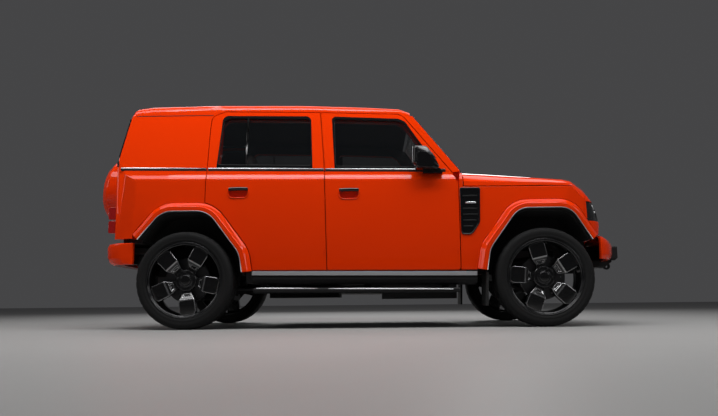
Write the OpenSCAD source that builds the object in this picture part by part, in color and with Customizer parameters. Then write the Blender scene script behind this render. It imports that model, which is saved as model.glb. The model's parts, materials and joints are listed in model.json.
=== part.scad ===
// Five-door boxy off-road wagon. Millimetres. X runs forward, Y to the vehicle's left, Z up from the ground.
// Side outlines are read from axle to axle: F() measures from the front axle and R() from the rear axle.

/* [Overall] */
// Front axle to rear axle
wheelbase = 3022; // [2900:1:3150]
// Front axle to the tip of the front skid
front_overhang = 799; // [790:1:830]
// Rear axle to the back of the spare wheel cover
rear_overhang = 1039; // [1020:1:1070]
// Width over the door skins at their widest
body_w = 1914; // [1890:2:1940]
// How far a wheel-arch flare stands out from the door skin
flare_out = 41; // [25:1:55]
// Nose-down lean of the shoulder line, in degrees
rake = 0.7; // [0:0.1:1.2]

/* [Body side] */
// Bottom edge of the doors
sill_z = 470; // [450:1:480]
// Lower edge of the sloping shoulder
shoulder_z = 1236; // [1220:1:1245]
// Upper edge of the sloping shoulder
shoulder_top_z = 1293; // [1280:1:1305]
// Waist line below the windows
belt_z = 1330; // [1320:1:1340]
// Inward lean of the windows, millimetres per millimetre of height
tumblehome = 0.242; // [0.2:0.002:0.28]
// Thickness of a door below the waist
door_t = 75; // [60:1:85]
// Thickness of a door frame around the window
door_frame_t = 48; // [40:1:55]
// Thickness of the pillars and cant rails behind the doors
pillar_t = 58; // [45:1:70]
// Overlap of a door on the pillars around it
door_lap = 42; // [30:1:50]
// Thickness of side and rear glass
glass_t = 6; // [4:0.5:8]

/* [Gaps] */
// Shut line around doors, bonnet and tailgate
shut_gap = 7; // [7:0.5:9]
// Space between a closed door and the pillar behind it
seal_gap = 8.5; // [8.5:0.5:12]
// Space between neighbouring fixed panels
panel_gap = 0.5; // [0.3:0.1:0.8]
// Radial play of a shaft or pin in its bore
pin_play = 0.1; // [0.05:0.05:0.3]

/* [Hinges] */
// Radius of a hinge pin
hinge_pin_r = 5; // [4:0.5:6]
// Hinge axis to the leading edge of the door
hinge_inset = 20; // [20:1:24]
// Hinge axis to the widest part of the skin
hinge_depth = 9; // [8:0.5:10]
// Height of a hinge arm
hinge_h = 18; // [14:1:24]

/* [Wheels] */
// Outside radius of a tyre
tyre_r = 412; // [405:1:416]
// Width of a tyre
tyre_w = 282; // [265:1:290]
// Radius of the rim where the tyre ends
rim_r = 322; // [312:1:326]
// Distance between the wheel centres of one axle
track = 1706; // [1690:2:1716]
// Radius of the wheel spindle
spindle_r = 32; // [28:1:36]
// Radius of a brake disc
disc_r = 190; // [170:1:205]
// Turn of the front spokes from upright, in degrees
front_spoke_turn = 13; // [0:1:71]
// Turn of the rear spokes from upright, in degrees
rear_spoke_turn = -29; // [-71:1:0]
// Steering axis inboard of the wheel centre
kingpin_in = 63; // [58:1:68]

/* [Spare wheel cover] */
// Radius of the cover
spare_r = 335; // [315:1:345]
// Height of its centre
spare_z = 1318; // [1300:1:1340]
// Forward lean of its back, in degrees
spare_lean = 13; // [8:1:16]

/* [Recovery eyes] */
// Radius of the hole in a recovery eye
eye_r = 14; // [12:0.5:16]
// Thickness of a recovery eye
eye_t = 24; // [18:1:30]

/* [Hidden] */
$fn = 64;
// Height of the axles in the body's own frame, and how far the tyres then lift that frame from the ground
axle_z = 400;
ride_lift = tyre_r - axle_z;
arc_steps = 6;
xf = wheelbase / 2;
xr = -wheelbase / 2;
half_w = body_w / 2;
flare_y = half_w + flare_out;
front_x = xf + front_overhang;
rear_x = xr - rear_overhang;
origin_shift = -(front_x + rear_x) / 2;
top_z = 1985;

function F(d) = xf + d;
function R(d) = xr + d;
function last(list) = list[len(list) - 1];
function turned(list) = [for (i = [len(list) - 1:-1:0]) list[i]];
function clamp(v, lo, hi) = max(lo, min(hi, v));
function unit(v) = v / norm(v);
function flat(p) = [p[0], p[1]];

// Arc that rounds the corner at b between a and c
function corner_arc(a, b, c, r) =
    let (u = unit(a - b))
    let (v = unit(c - b))
    let (half = acos(clamp(u * v, -1, 1)) / 2)
    let (centre = b + unit(u + v) * r / sin(half))
    let (p = b + u * r / tan(half))
    let (q = b + v * r / tan(half))
    let (a0 = atan2(p[1] - centre[1], p[0] - centre[0]))
    let (a1 = atan2(q[1] - centre[1], q[0] - centre[0]))
    let (d = a1 - a0)
    let (sweep = d > 180 ? d - 360 : d < -180 ? d + 360 : d)
    [for (i = [0:arc_steps]) centre + r * [cos(a0 + sweep * i / arc_steps), sin(a0 + sweep * i / arc_steps)]];

// Outline whose points are [x, y, corner radius]
function rounded(pts) =
    let (n = len(pts))
    [for (i = [0:n - 1])
        let (a = flat(pts[(i + n - 1) % n]))
        let (b = flat(pts[i]))
        let (c = flat(pts[(i + 1) % n]))
        each (pts[i][2] > 0 ? corner_arc(a, b, c, pts[i][2]) : [b])];

// Outline moved outwards by d; it runs anticlockwise
function grown(pts, d) =
    let (n = len(pts))
    [for (i = [0:n - 1])
        let (u = unit(pts[i] - pts[(i + n - 1) % n]))
        let (v = unit(pts[(i + 1) % n] - pts[i]))
        let (m = unit([u[1] + v[1], -u[0] - v[0]]))
        pts[i] + m * d / max(0.4, m * [u[1], -u[0]])];

// Open line moved to its left by d
function beside(pts, d) =
    let (n = len(pts))
    [for (i = [0:n - 1])
        let (u = unit(pts[max(i, 1)] - pts[max(i, 1) - 1]))
        let (v = unit(pts[min(i, n - 2) + 1] - pts[min(i, n - 2)]))
        let (m = unit([-u[1] - v[1], u[0] + v[0]]))
        pts[i] + m * d / max(0.5, m * [-u[1], u[0]])];

function interp(table, x) =
    let (n = len(table))
    x <= table[0][0] ? table[0][1] :
    x >= table[n - 1][0] ? table[n - 1][1] :
    [for (i = [0:n - 2])
        if (x >= table[i][0] && x < table[i + 1][0])
            table[i][1] + (table[i + 1][1] - table[i][1]) * (x - table[i][0]) / (table[i + 1][0] - table[i][0])][0];

// Outline in the X-Z plane, drawn out across the vehicle from y0 to y1
module across(pts, y0, y1) {
    translate([0, y1, 0])
        rotate([90, 0, 0])
            linear_extrude(y1 - y0)
                polygon(pts);
}

// Section in the Y-Z plane, drawn out along the vehicle from x0 to x1
module along(pts, x0, x1) {
    translate([x0, 0, 0])
        rotate([90, 0, 90])
            linear_extrude(x1 - x0)
                polygon(pts);
}

// Outline in the X-Y plane, drawn up from z0 to z1
module upward(pts, z0, z1) {
    translate([0, 0, z0])
        linear_extrude(z1 - z0)
            polygon(pts);
}

module block(x0, x1, y0, y1, z0, z1) {
    translate([x0, y0, z0])
        cube([x1 - x0, y1 - y0, z1 - z0]);
}

// Skin over a row of closed rings of equal length
module loft(rings) {
    n = len(rings[0]);
    m = len(rings);
    polyhedron(
        points = [for (r = rings) each r],
        faces = concat(
            [[for (i = [0:n - 1]) i]],
            [[for (i = [n - 1:-1:0]) (m - 1) * n + i]],
            [for (j = [0:m - 2], i = [0:n - 1])
                each [[j * n + i, (j + 1) * n + i, j * n + (i + 1) % n],
                    [j * n + (i + 1) % n, (j + 1) * n + i, (j + 1) * n + (i + 1) % n]]]));
}

// Sheet between an outer and an inner skin, each a row of open lines of equal length
module shell(outer, inner) {
    m = len(outer);
    n = len(outer[0]);
    k = m * n;
    polyhedron(
        points = concat([for (r = outer) each r], [for (r = inner) each r]),
        faces = concat(
            [for (j = [0:m - 2], i = [0:n - 2])
                each [[j * n + i, (j + 1) * n + i, j * n + i + 1],
                    [j * n + i + 1, (j + 1) * n + i, (j + 1) * n + i + 1],
                    [k + j * n + i, k + j * n + i + 1, k + (j + 1) * n + i],
                    [k + j * n + i + 1, k + (j + 1) * n + i + 1, k + (j + 1) * n + i]]],
            [for (i = [0:n - 2])
                each [[i, i + 1, k + i + 1],
                    [i, k + i + 1, k + i],
                    [k - n + i + 1, k - n + i, 2 * k - n + i],
                    [k - n + i + 1, 2 * k - n + i, 2 * k - n + i + 1]]],
            [for (j = [0:m - 2])
                each [[j * n + n - 1, (j + 1) * n + n - 1, k + j * n + n - 1],
                    [k + j * n + n - 1, (j + 1) * n + n - 1, k + (j + 1) * n + n - 1],
                    [k + j * n, k + (j + 1) * n, j * n],
                    [j * n, k + (j + 1) * n, (j + 1) * n]]]));
}

// Half line completed by its mirror image; the last point lies in the middle
function whole(half) = concat(half, [for (i = [len(half) - 2:-1:0]) [half[i][0], -half[i][1], half[i][2]]]);

module both_sides() {
    children();
    mirror([0, 1, 0])
        children();
}

module on_side(side) {
    if (side > 0)
        children();
    else
        mirror([0, 1, 0])
            children();
}

module vehicle() {
    translate([origin_shift, 0, ride_lift])
        children();
}

// Cross-section of the body side at mid-wheelbase, from the sill to the cant rail
belt_y = half_w - 54;
function upper_y(z) = belt_y - (z - belt_z) * tumblehome;
skin = concat(
    [for (i = [0:8])
        let (t = i / 8)
        [half_w - 14 * pow(max(0, 0.55 - t) / 0.55, 2) - 9 * pow(max(0, t - 0.55) / 0.45, 2),
            sill_z - 20 + (shoulder_z - sill_z + 20) * t]],
    [[half_w - 24, shoulder_z + 22]],
    [[half_w - 44, shoulder_top_z]],
    [[belt_y, belt_z]],
    [[upper_y(top_z), top_z]]);
function layer(low, high) = [
    [half_w - 14 - low, sill_z - 20],
    [half_w - 9 - low, shoulder_z],
    [belt_y - high, belt_z],
    [upper_y(top_z) - high, top_z]];
door_in = layer(door_t, door_frame_t);
pillar_out = layer(door_t + seal_gap, door_frame_t + seal_gap);
pillar_in = layer(door_t + seal_gap + pillar_t, door_frame_t + seal_gap + pillar_t);
door_section = concat(skin, turned(door_in));
wall_section = concat(skin, turned(pillar_in));
outer_section = concat([[half_w + 300, sill_z - 20], [half_w + 300, top_z]], turned(pillar_out));
function pillar_y(z) = interp([for (p = pillar_out) [p[1], p[0]]], z);
function skin_y(z) = interp([for (p = skin) [p[1], p[0]]], z);

module raked(section) {
    rotate([0, rake, 0])
        along(section, -2600, 2600);
}

// Joint between the roof and the body side, [x, z]; it steps down over the rear quarter
seam = [
    [R(-560), 1868],
    [R(-540), 1877],
    [R(174), 1876],
    [R(230), 1910],
    [R(280), 1917],
    [F(-1880), 1896],
    [F(-1189), 1868],
    [F(-1145), 1853],
    [F(-1100), 1845]];
function seam_z(x) = interp(seam, x);

// Line between front and rear doors
split = [[F(-1823), sill_z], [F(-1833), 1017], [F(-1843), 1323], [F(-1888), 1900]];
function split_x(z) = interp([for (p = split) [p[1], p[0]]], z);
door_front_x = F(-699);
door_rear_x = R(159);

// Wheel-arch openings as open lines running forward over the wheel, [x, z, corner radius]
front_arch = [
    [F(-482), sill_z - 10, 0],
    [F(-452), 640, 190],
    [F(-205), 978, 170],
    [F(232), 978, 170],
    [F(420), 712, 0]];
rear_arch = [
    [R(-405), 745, 0],
    [R(-200), 982, 190],
    [R(190), 982, 200],
    [R(462), 620, 220],
    [R(486), sill_z - 10, 0]];
flare_band = 78;
function arch_line(arch) = rounded(arch);
function flare_line(arch) = beside(arch_line(arch), flare_band);
// Closed outline of everything inside an arch line
function arch_fill(line) = concat(line, [[last(line)[0], 100], [line[0][0], 100]]);

// Inward draw of the flanks towards the corners of the vehicle
function draw_in(x) =
    x > F(130) ? 0.00075 * pow(x - F(130), 2) :
    x < R(-330) ? 0.0009 * pow(x - R(-330), 2) : 0;

// Plan of the body, wide enough to hold the skin and drawn in at both ends
plan_half = concat(
    [[R(-660), 0]],
    [for (x = [R(-660), R(-650), R(-610), R(-540), R(-470), R(-400), R(-330)]) [x, half_w - draw_in(x)]],
    [for (x = [F(130), F(190), F(250), F(310), F(375)]) [x, half_w - draw_in(x)]],
    [[F(375), 0]]);

front_door_outline = [
    for (p = rounded([
        [split_x(sill_z) + shut_gap / 2, sill_z + 5, 12],
        [door_front_x, sill_z - 4, 25],
        [door_front_x, 1196, 30],
        [F(-745), 1302, 0],
        [F(-1148), 1842 - shut_gap, 40],
        [F(-1195), 1867 - shut_gap, 40],
        [split_x(1895) + shut_gap / 2, 1894 - shut_gap, 8],
        [split_x(1323) + shut_gap / 2, 1323, 0]])) p];
rear_flare = flare_line(rear_arch);
rear_door_low = [for (p = beside(rear_flare, shut_gap)) if (p[0] > door_rear_x && p[1] > sill_z + 12) p];
rear_door_outline = concat(
    rounded([
        [split_x(1323) - shut_gap / 2, 1323, 0],
        [split_x(1895) - shut_gap / 2, 1895 - shut_gap, 8],
        [R(278), 1915 - shut_gap, 60],
        [R(168), 1862, 60],
        [door_rear_x, 1740, 0]]),
    [[door_rear_x, rear_door_low[0][1] + 4]],
    rear_door_low,
    [[last(beside(rear_flare, shut_gap))[0], sill_z + 9]],
    [[split_x(sill_z) - shut_gap / 2, sill_z + 5]]);

front_window = rounded([
    [F(-1752), 1371, 25],
    [F(-858), 1349, 20],
    [F(-1140), 1778, 45],
    [F(-1200), 1802, 45],
    [F(-1770), 1828, 30]]);
rear_window = rounded([
    [R(236), 1398, 25],
    [F(-1952), 1379, 25],
    [F(-1972), 1832, 45],
    [R(330), 1849, 60],
    [R(268), 1822, 40]]);

front_aperture = rounded([
    [split_x(900) + 90, sill_z + 60, 60],
    [door_front_x - 60, sill_z + 60, 60],
    [door_front_x - 60, 1180, 30],
    [F(-860), 1340, 20],
    [F(-1152), 1752, 50],
    [F(-1210), 1790, 50],
    [split_x(1800) + 78, 1815, 40],
    [split_x(1323) + 88, 1323, 0]]);
rear_aperture = rounded([
    [R(640), sill_z + 60, 60],
    [split_x(900) - 90, sill_z + 60, 60],
    [split_x(1323) - 88, 1323, 0],
    [split_x(1800) - 78, 1818, 40],
    [R(300), 1838, 70],
    [R(255), 1780, 50],
    [R(240), 1120, 90],
    [R(480), 830, 90]]);

// Back of the tailgate in side view and its opening in the body
gate_x = R(-655);
gate_top_x = R(-553);
gate_low = 772;
gate_high = 1872;
gate_t = 60;
function gate_face(z) = interp([[1345, gate_x], [gate_high, gate_top_x]], z);
gate_side = [
    [gate_x, gate_low],
    [gate_x + gate_t, gate_low],
    [gate_x + gate_t, 1345],
    [gate_top_x + gate_t, gate_high],
    [gate_top_x, gate_high],
    [gate_x, 1345]];
gate_w = half_w - 168;
gate_top_w = upper_y(gate_high) - 92;
gate_rear = rounded([
    [-gate_w, gate_low, 30],
    [gate_w, gate_low, 30],
    [gate_w, 1290, 0],
    [gate_top_w, gate_high, 60],
    [-gate_top_w, gate_high, 60],
    [-gate_w, 1290, 0]]);

// Windscreen line in side view
screen_low = [F(-672), 1310];
screen_high = [F(-1068), 1842];
screen_dir = unit(screen_high - screen_low);
screen_out = [screen_dir[1], -screen_dir[0]];
screen_angle = atan2(screen_high[1] - screen_low[1], screen_high[0] - screen_low[0]);
screen_len = norm(screen_high - screen_low);

// Slab of windscreen glass; grow widens it on every side for the rebate around it
module screen_slab(grow) {
    low_y = upper_y(screen_low[1]) - 40;
    high_y = upper_y(screen_high[1]) - 40;
    translate([screen_low[0], 0, screen_low[1]])
        rotate([0, -screen_angle, 0])
            translate([0, 0, -14 - grow])
                linear_extrude(14 + 2 * grow)
                    polygon([
                        [-grow, -low_y - grow],
                        [screen_len + grow, -high_y - grow],
                        [screen_len + grow, high_y + grow],
                        [-grow, low_y + grow]]);
}

// Door hinges: heights of the arms
front_hinges = [640, 1080];
rear_hinges = [640, 1080];
gate_hinges = [880, 1230];
door_axis_y = half_w - hinge_depth;
front_axis_x = door_front_x - hinge_inset;
rear_axis_x = split_x(sill_z) - shut_gap / 2 - hinge_inset;
gate_axis_x = gate_x + hinge_depth;
gate_axis_y = gate_w - hinge_inset;

// Arm and pin that stand out from a pillar
module door_hinge_arms(x, heights) {
    for (z = heights) {
        block(x - 8, x + 8, pillar_y(z) - 20, door_axis_y, z - hinge_h / 2, z + hinge_h / 2);
        translate([x, door_axis_y, z - hinge_h / 2])
            cylinder(r = 8, h = hinge_h);
        translate([x, door_axis_y, z - hinge_h / 2 - 24])
            cylinder(r = hinge_pin_r, h = hinge_h + 48, $fn = 32);
    }
}

// Slot and bore that a door leaves around an arm and its pin
module door_hinge_slots(x, heights) {
    for (z = heights) {
        block(x - 16, x + 60, half_w - 200, half_w + 40, z - hinge_h / 2 - 6, z + hinge_h / 2 + 6);
        translate([x, door_axis_y, z - hinge_h / 2 - 30])
            cylinder(r = hinge_pin_r + pin_play, h = hinge_h + 60, $fn = 32);
    }
}

module body_side() {
    difference() {
        intersection() {
            raked(wall_section);
            across(concat(
                [[R(-640), 760], [R(-380), 760], [R(-380), 430], [F(-640), 430], [F(-640), 1170], [F(-664), 1180], [F(-664), 1290]],
                [[screen_low[0], screen_low[1] + 2], screen_high],
                turned(seam),
                [[R(-640), 1380]]), 500, 1100);
            upward(plan_half, 300, 2100);
        }
        intersection() {
            raked(outer_section);
            union() {
                across(grown(front_door_outline, shut_gap), 500, 1300);
                across(grown(rear_door_outline, shut_gap), 500, 1300);
                block(door_front_x - 30, F(-300), 500, 1300, 300, 1215);
                block(R(300), F(-300), 500, 1300, 300, sill_z + 8);
                across([
                    [door_front_x - 40, 1190],
                    [F(-600), 1190],
                    [F(-600), 1316],
                    [screen_low[0] + 6, 1316],
                    [F(-745) + 8, 1302 + 4]], 500, 1300);
            }
        }
        across(front_aperture, 500, 1300);
        across(rear_aperture, 500, 1300);
        across(arch_fill(beside(rear_flare, panel_gap)), 500, 1300);
        intersection() {
            across(grown([for (p = gate_side) p], shut_gap), -1200, 1200);
            along(grown(gate_rear, shut_gap), R(-900), R(-400));
        }
        block(R(-900), R(-655), 0, 1300, 300, 1330);
        screen_slab(panel_gap);
    }
}

module body_sides() {
    color("orangered")
        vehicle() {
            both_sides()
                union() {
                    body_side();
                    door_hinge_arms(front_axis_x, front_hinges);
                    door_hinge_arms(rear_axis_x, rear_hinges);
                }
            gate_hinge_arms();
        }
}

// Roof sections: [x, top at the side, rise to the middle]
roof_rows = [
    [R(-556), 1905, 6],
    [R(-540), 1944, 10],
    [R(-520), 1962, 14],
    [R(-380), 1981, 16],
    [R(120), 1988, 16],
    [R(174), 1988, 16],
    [R(230), 1988, 16],
    [R(280), 1987, 16],
    [F(-2085), 1977, 16],
    [F(-1880), 1969, 15],
    [F(-1455), 1948, 14],
    [F(-1189), 1928, 12],
    [F(-1145), 1912, 8],
    [F(-1090), 1886, 4]];
roof_t = 34;
// Share of the half width and drop below the side top, from the edge inwards
roof_edge = [[1, 1], [0.993, 0.62], [0.975, 0.32], [0.945, 0.12], [0.9, 0.02], [0.82, -0.05]];

function roof_foot(x) = seam_z(x) + panel_gap;
function roof_half(row) =
    let (zb = roof_foot(row[0]))
    let (yb = skin_y(zb + row[0] * tan(rake)) - 1)
    let (zt = row[1])
    concat(
        [for (e = roof_edge) [row[0], yb * e[0], zt - (zt - zb) * max(0, e[1]) + row[2] * max(0, -e[1]) * 4]],
        [[row[0], yb * 0.5, zt + row[2] * 0.8], [row[0], 0, zt + row[2]]]);
function roof_inner(row) =
    let (zb = roof_foot(row[0]))
    let (half = roof_half(row))
    let (share = (pillar_y(zb + row[0] * tan(rake)) + panel_gap) / half[0][1])
    [for (i = [0:len(half) - 1])
        [row[0], half[i][1] * share, i == 0 ? zb : max(zb + 2 * i, half[i][2] - roof_t)]];

module roof() {
    color("orangered")
        vehicle()
            shell(
                [for (row = roof_rows) whole(roof_half(row))],
                [for (row = roof_rows) whole(roof_inner(row))]);
}

module windscreen() {
    color("dimgray")
        vehicle()
            screen_slab(0);
}

module door_window_cut(outline) {
    across(outline, 300, 1300);
}

module door_glass(outline) {
    intersection() {
        raked(concat(
            [[belt_y - 10, belt_z - 60], [belt_y - 10, belt_z], [upper_y(top_z) - 10, top_z]],
            [[upper_y(top_z) - 10 - glass_t, top_z], [belt_y - 10 - glass_t, belt_z], [belt_y - 10 - glass_t, belt_z - 60]]));
        across(grown(outline, -0.3), 300, 1300);
    }
}

// Recess for a door handle
module handle_pocket(x0, z0) {
    across(rounded([[x0, z0, 40], [x0 + 170, z0, 40], [x0 + 170, z0 + 92, 14], [x0, z0 + 92, 14]]),
        half_w - 38, half_w + 40);
}

module front_door(side) {
    color("orangered")
        vehicle()
            on_side(side)
                difference() {
                    intersection() {
                        raked(door_section);
                        across(front_door_outline, 300, 1300);
                    }
                    door_window_cut(front_window);
                    door_hinge_slots(front_axis_x, front_hinges);
                    handle_pocket(F(-1717), 1078);
                }
}

module rear_door(side) {
    color("orangered")
        vehicle()
            on_side(side)
                difference() {
                    intersection() {
                        raked(door_section);
                        across(rear_door_outline, 300, 1300);
                    }
                    door_window_cut(rear_window);
                    door_hinge_slots(rear_axis_x, rear_hinges);
                    handle_pocket(R(354), 1097);
                }
}

module front_door_glass(side) {
    color("dimgray")
        vehicle()
            on_side(side)
                door_glass(front_window);
}

module rear_door_glass(side) {
    color("dimgray")
        vehicle()
            on_side(side)
                door_glass(rear_window);
}

// Mirror head on a foot that stands on the door's shoulder
module mirror_unit(side) {
    color("black")
        vehicle()
            on_side(side) {
                difference() {
                    union() {
                        hull() {
                            across(rounded([
                                [F(-1062), 1322, 20],
                                [F(-850), 1310, 25],
                                [F(-925), 1462, 40],
                                [F(-1066), 1490, 30]]), half_w - 27, half_w + 73);
                            across(rounded([
                                [F(-1052), 1336, 20],
                                [F(-890), 1326, 25],
                                [F(-945), 1446, 40],
                                [F(-1056), 1470, 30]]), half_w + 73, half_w + 93);
                        }
                        across([[F(-1000), 1290], [F(-830), 1290], [F(-850), 1335], [F(-990), 1335]],
                            half_w - 107, half_w + 3);
                    }
                    rotate([0, rake, 0])
                        along(concat([for (p = turned(skin)) [p[0] + panel_gap, p[1]]], [[0, 400], [0, top_z]]), -2600, 2600);
                    block(F(-1090), F(-1050), half_w - 12, half_w + 78, 1345, 1465);
                }
            }
}

// Front wing, in one piece with the strip beside the windscreen foot
wing_top = 1171;
module wing() {
    difference() {
        intersection() {
            raked(concat(skin, [for (p = turned(pillar_out)) [p[0] + panel_gap, p[1]]]));
            across([
                [door_front_x + shut_gap, sill_z - 4],
                [F(372), sill_z - 4],
                [F(372), 1066],
                [F(330), 1104],
                [F(264), wing_top - 4],
                [F(200), wing_top - 4],
                [F(-660), wing_top],
                [F(-660), 1296],
                [F(-681), 1296],
                [door_front_x + shut_gap, 1206]], 500, 1300);
            upward(plan_half, 300, 2100);
        }
        across(arch_fill(beside(flare_line(front_arch), panel_gap)), 500, 1300);
        across(grown(vent_outline, panel_gap), half_w - 45, 1300);
        across([[F(-640), 430], [F(200), 430], [F(200), 700], [F(-520), 700], [F(-640), 640]], 500, half_w - 45);
    }
}

vent_outline = rounded([
    [F(-680), 800, 12],
    [F(-655), 768, 12],
    [F(-575), 830, 60],
    [F(-541), 900, 60],
    [F(-524), 1157, 12],
    [F(-684), 1159, 12]]);

module wings() {
    color("orangered")
        vehicle()
            both_sides()
                wing();
}

// Louvred outlet behind the front wheel
module side_vents() {
    color("black")
        vehicle()
            both_sides()
                difference() {
                    intersection() {
                        across(vent_outline, half_w - 44, half_w + 2);
                        raked(concat(skin, [[half_w - 150, top_z], [half_w - 150, sill_z - 20]]));
                    }
                    for (i = [0:5])
                        block(F(-670), F(-560 + 3 * i), half_w - 24, half_w + 20, 862 + 44 * i, 886 + 44 * i);
                }
}

// Section of a flare: [distance from the arch edge, distance out from the door skin]
flare_section = [
    [0, -70],
    [0, flare_out - 5],
    [6, flare_out],
    [34, flare_out],
    [44, flare_out - 4],
    [flare_band - 3, 0],
    [flare_band, -6],
    [flare_band, -70]];

function flare_rings(arch) =
    let (line = arch_line(arch))
    [for (i = [0:len(line) - 1])
        [for (s = flare_section)
            let (p = beside(line, s[0])[i])
            [p[0], half_w + s[1] - draw_in(p[0]), p[1]]]];

module flares() {
    color("orangered")
        vehicle()
            both_sides() {
                loft(flare_rings(front_arch));
                loft(flare_rings(rear_arch));
            }
}

// Plan of the nose, left half from the wing to the middle, [x, y]
nose_seat = F(372) + panel_gap;
nose_plan = [
    [nose_seat, half_w - 45],
    [F(420), half_w - 66],
    [F(472), half_w - 98],
    [F(512), half_w - 146],
    [F(541), half_w - 210],
    [F(562), half_w - 300],
    [F(586), half_w - 470],
    [F(605), half_w - 700],
    [F(612), 0]];
// Set-back of the nose by height
nose_rows = [[750, -20], [770, -9], [848, 0], [931, -12], [996, -31], [1040, -52], [1066, -80]];

// Line of a wrap-round panel at one height; depth 1 is its face and less than 1 its back
function wrap_line(row, plan, seat, depth, width) =
    whole([for (p = plan)
        [seat + (p[0] - seat) * depth + row[1] * clamp((p[0] - seat) / 170, 0, 1), p[1] * width, row[0]]]);
module wrap_panel(rows, plan, seat, depth) {
    shell(
        [for (row = turned(rows)) wrap_line(row, plan, seat, 1, 1)],
        [for (row = turned(rows)) wrap_line(row, plan, seat, depth, 0.955)]);
}

module nose_shell() {
    wrap_panel(nose_rows, nose_plan, nose_seat, 0.8);
}

lamp_box = [half_w - 417, half_w - 54, 872, 1040];
module lamp_space(grow) {
    across(rounded([
        [F(384), lamp_box[2] - grow, 0],
        [F(800), lamp_box[2] - grow, 0],
        [F(800), lamp_box[3] + grow, 0],
        [F(384), lamp_box[3] + grow, 0]]), lamp_box[0] - grow, lamp_box[1] + grow);
}

// Half width, lowest and highest edge
grille_box = [half_w - 457, 862, 1046];
grille_pitch = (grille_box[2] - grille_box[1]) / 4.49;
module nose() {
    color("orangered")
        vehicle()
            difference() {
                nose_shell();
                both_sides()
                    lamp_space(panel_gap);
                block(F(300), F(800), -grille_box[0], grille_box[0], grille_box[1], grille_box[2]);
                both_sides()
                    across(arch_fill(beside(flare_line(front_arch), panel_gap)), 500, 1300);
            }
}

module headlamps() {
    color("dimgray")
        vehicle()
            both_sides()
                difference() {
                    intersection() {
                        translate([-14, 0, 0])
                            nose_shell();
                        lamp_space(0);
                    }
                    across(arch_fill(beside(flare_line(front_arch), panel_gap)), 500, 1300);
                }
}

module grille() {
    color("black")
        vehicle()
            difference() {
                intersection() {
                    translate([-14, 0, 0])
                        nose_shell();
                    block(F(300), F(800), -grille_box[0] + panel_gap, grille_box[0] - panel_gap,
                        grille_box[1] + panel_gap, grille_box[2] - panel_gap);
                }
                for (i = [0:3])
                    block(F(586), F(800), -grille_box[0] + 60, grille_box[0] - 60,
                        grille_box[1] + grille_pitch * (i + 0.44), grille_box[1] + grille_pitch * (i + 0.93));
            }
}

bumper_plan = [
    [F(424), half_w - 12],
    [F(494), half_w - 26],
    [F(552), half_w - 68],
    [F(599), half_w - 148],
    [F(651), half_w - 250],
    [F(682), half_w - 370],
    [F(703), half_w - 470],
    [F(716), half_w - 600],
    [F(727), 0]];
bumper_rows = [[548, -26], [566, -10], [600, 0], [668, 2], [712, -22], [735, -52], [744, -110]];

module front_bumper() {
    color("orangered")
        vehicle()
            difference() {
                wrap_panel(bumper_rows, bumper_plan, F(424), 0.82);
                across(arch_fill(beside(flare_line(front_arch), panel_gap)), 700, 1300);
                across(arch_fill(beside(flare_line(front_arch), panel_gap)), -1300, -700);
                block(F(500), F(900), -429.4, 429.4, 500, 689.4);
            }
}

// Recovery eye: plate on edge with a hole across it
eye_shank = 64;
module recovery_eye(x, y, z) {
    translate([x, y + eye_t / 2, z])
        rotate([90, 0, 0])
            linear_extrude(eye_t)
                difference() {
                    union() {
                        circle(r = eye_r + 18);
                        translate([-eye_shank, -eye_r - 4])
                            square([eye_shank, 2 * eye_r + 8]);
                    }
                    circle(r = eye_r);
                }
}

front_eye_y = 300;
module front_skid() {
    color("dimgray")
        vehicle() {
            difference() {
                union() {
                    along(rounded([[-429, 560, 20], [429, 560, 20], [429, 689, 15], [-429, 689, 15]]), F(640), front_x);
                    across([[F(560), 500], [F(690), 500], [F(752), 548], [F(752), 561], [F(560), 561]], -400, 400);
                }
                block(F(700), F(900), -390, 390, 600, 660);
                across([[front_x - 40, 540], [front_x + 50, 540], [front_x + 50, 640]], -600, 600);
                for (side = [-1, 1])
                    block(F(500), F(668), side * front_eye_y - 20, side * front_eye_y + 20, 480, 560);
            }
            for (side = [-1, 1])
                recovery_eye(F(735), side * front_eye_y, 512);
        }
}

rear_bumper_plan = [
    [0, half_w - 14],
    [104, half_w - 24],
    [186, half_w - 48],
    [248, half_w - 106],
    [288, half_w - 190],
    [314, half_w - 330],
    [332, half_w - 600],
    [342, 0]];
rear_bumper_rows = [[538, -60], [560, -26], [600, -6], [690, 0], [716, -14], [722, -40]];

module rear_bumper() {
    color("dimgray")
        vehicle() {
            translate([R(-455), 0, 0])
                mirror([1, 0, 0])
                    difference() {
                        wrap_panel(rear_bumper_rows, rear_bumper_plan, 0, 0.7);
                        block(230, 400, -380, 380, 640, 690);
                    }
        }
}

module tail_lamps() {
    color("darkred")
        vehicle()
            both_sides()
                for (i = [0:1])
                    translate([0, 0, 118 * i])
                        across(rounded([
                            [R(-702), 812, 14],
                            [R(-640) - panel_gap, 812, 0],
                            [R(-640) - panel_gap, 920, 0],
                            [R(-702), 920, 14]]), half_w - 155, half_w - 84);
}

// Black rocker moulding with a bright upper strip
sill_in = pillar_out[0][0] + panel_gap;
module sills() {
    color("black")
        vehicle()
            both_sides()
                along_sill([[sill_in, 350], [half_w - 18, 362], [half_w + 4, 392], [half_w + 4, 424], [sill_in, 424]]);
}

module sill_trims() {
    color("silver")
        vehicle()
            both_sides()
                along_sill([[sill_in, 424.5], [half_w + 12, 424.5], [half_w - 4, 462], [sill_in, 462]]);
}

module along_sill(section) {
    difference() {
        rotate([0, rake * 0.8, 0])
            along(section, R(470), F(-470));
        across(arch_fill(grown_foot(front_arch)), 500, 1300);
        across(arch_fill(grown_foot(rear_arch)), 500, 1300);
        block(F(-563), F(-300), 500, 1300, 300, 700);
        block(R(300), R(566), 500, 1300, 300, 700);
    }
}
function grown_foot(arch) = beside(arch_line(arch), flare_band + panel_gap);

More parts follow.
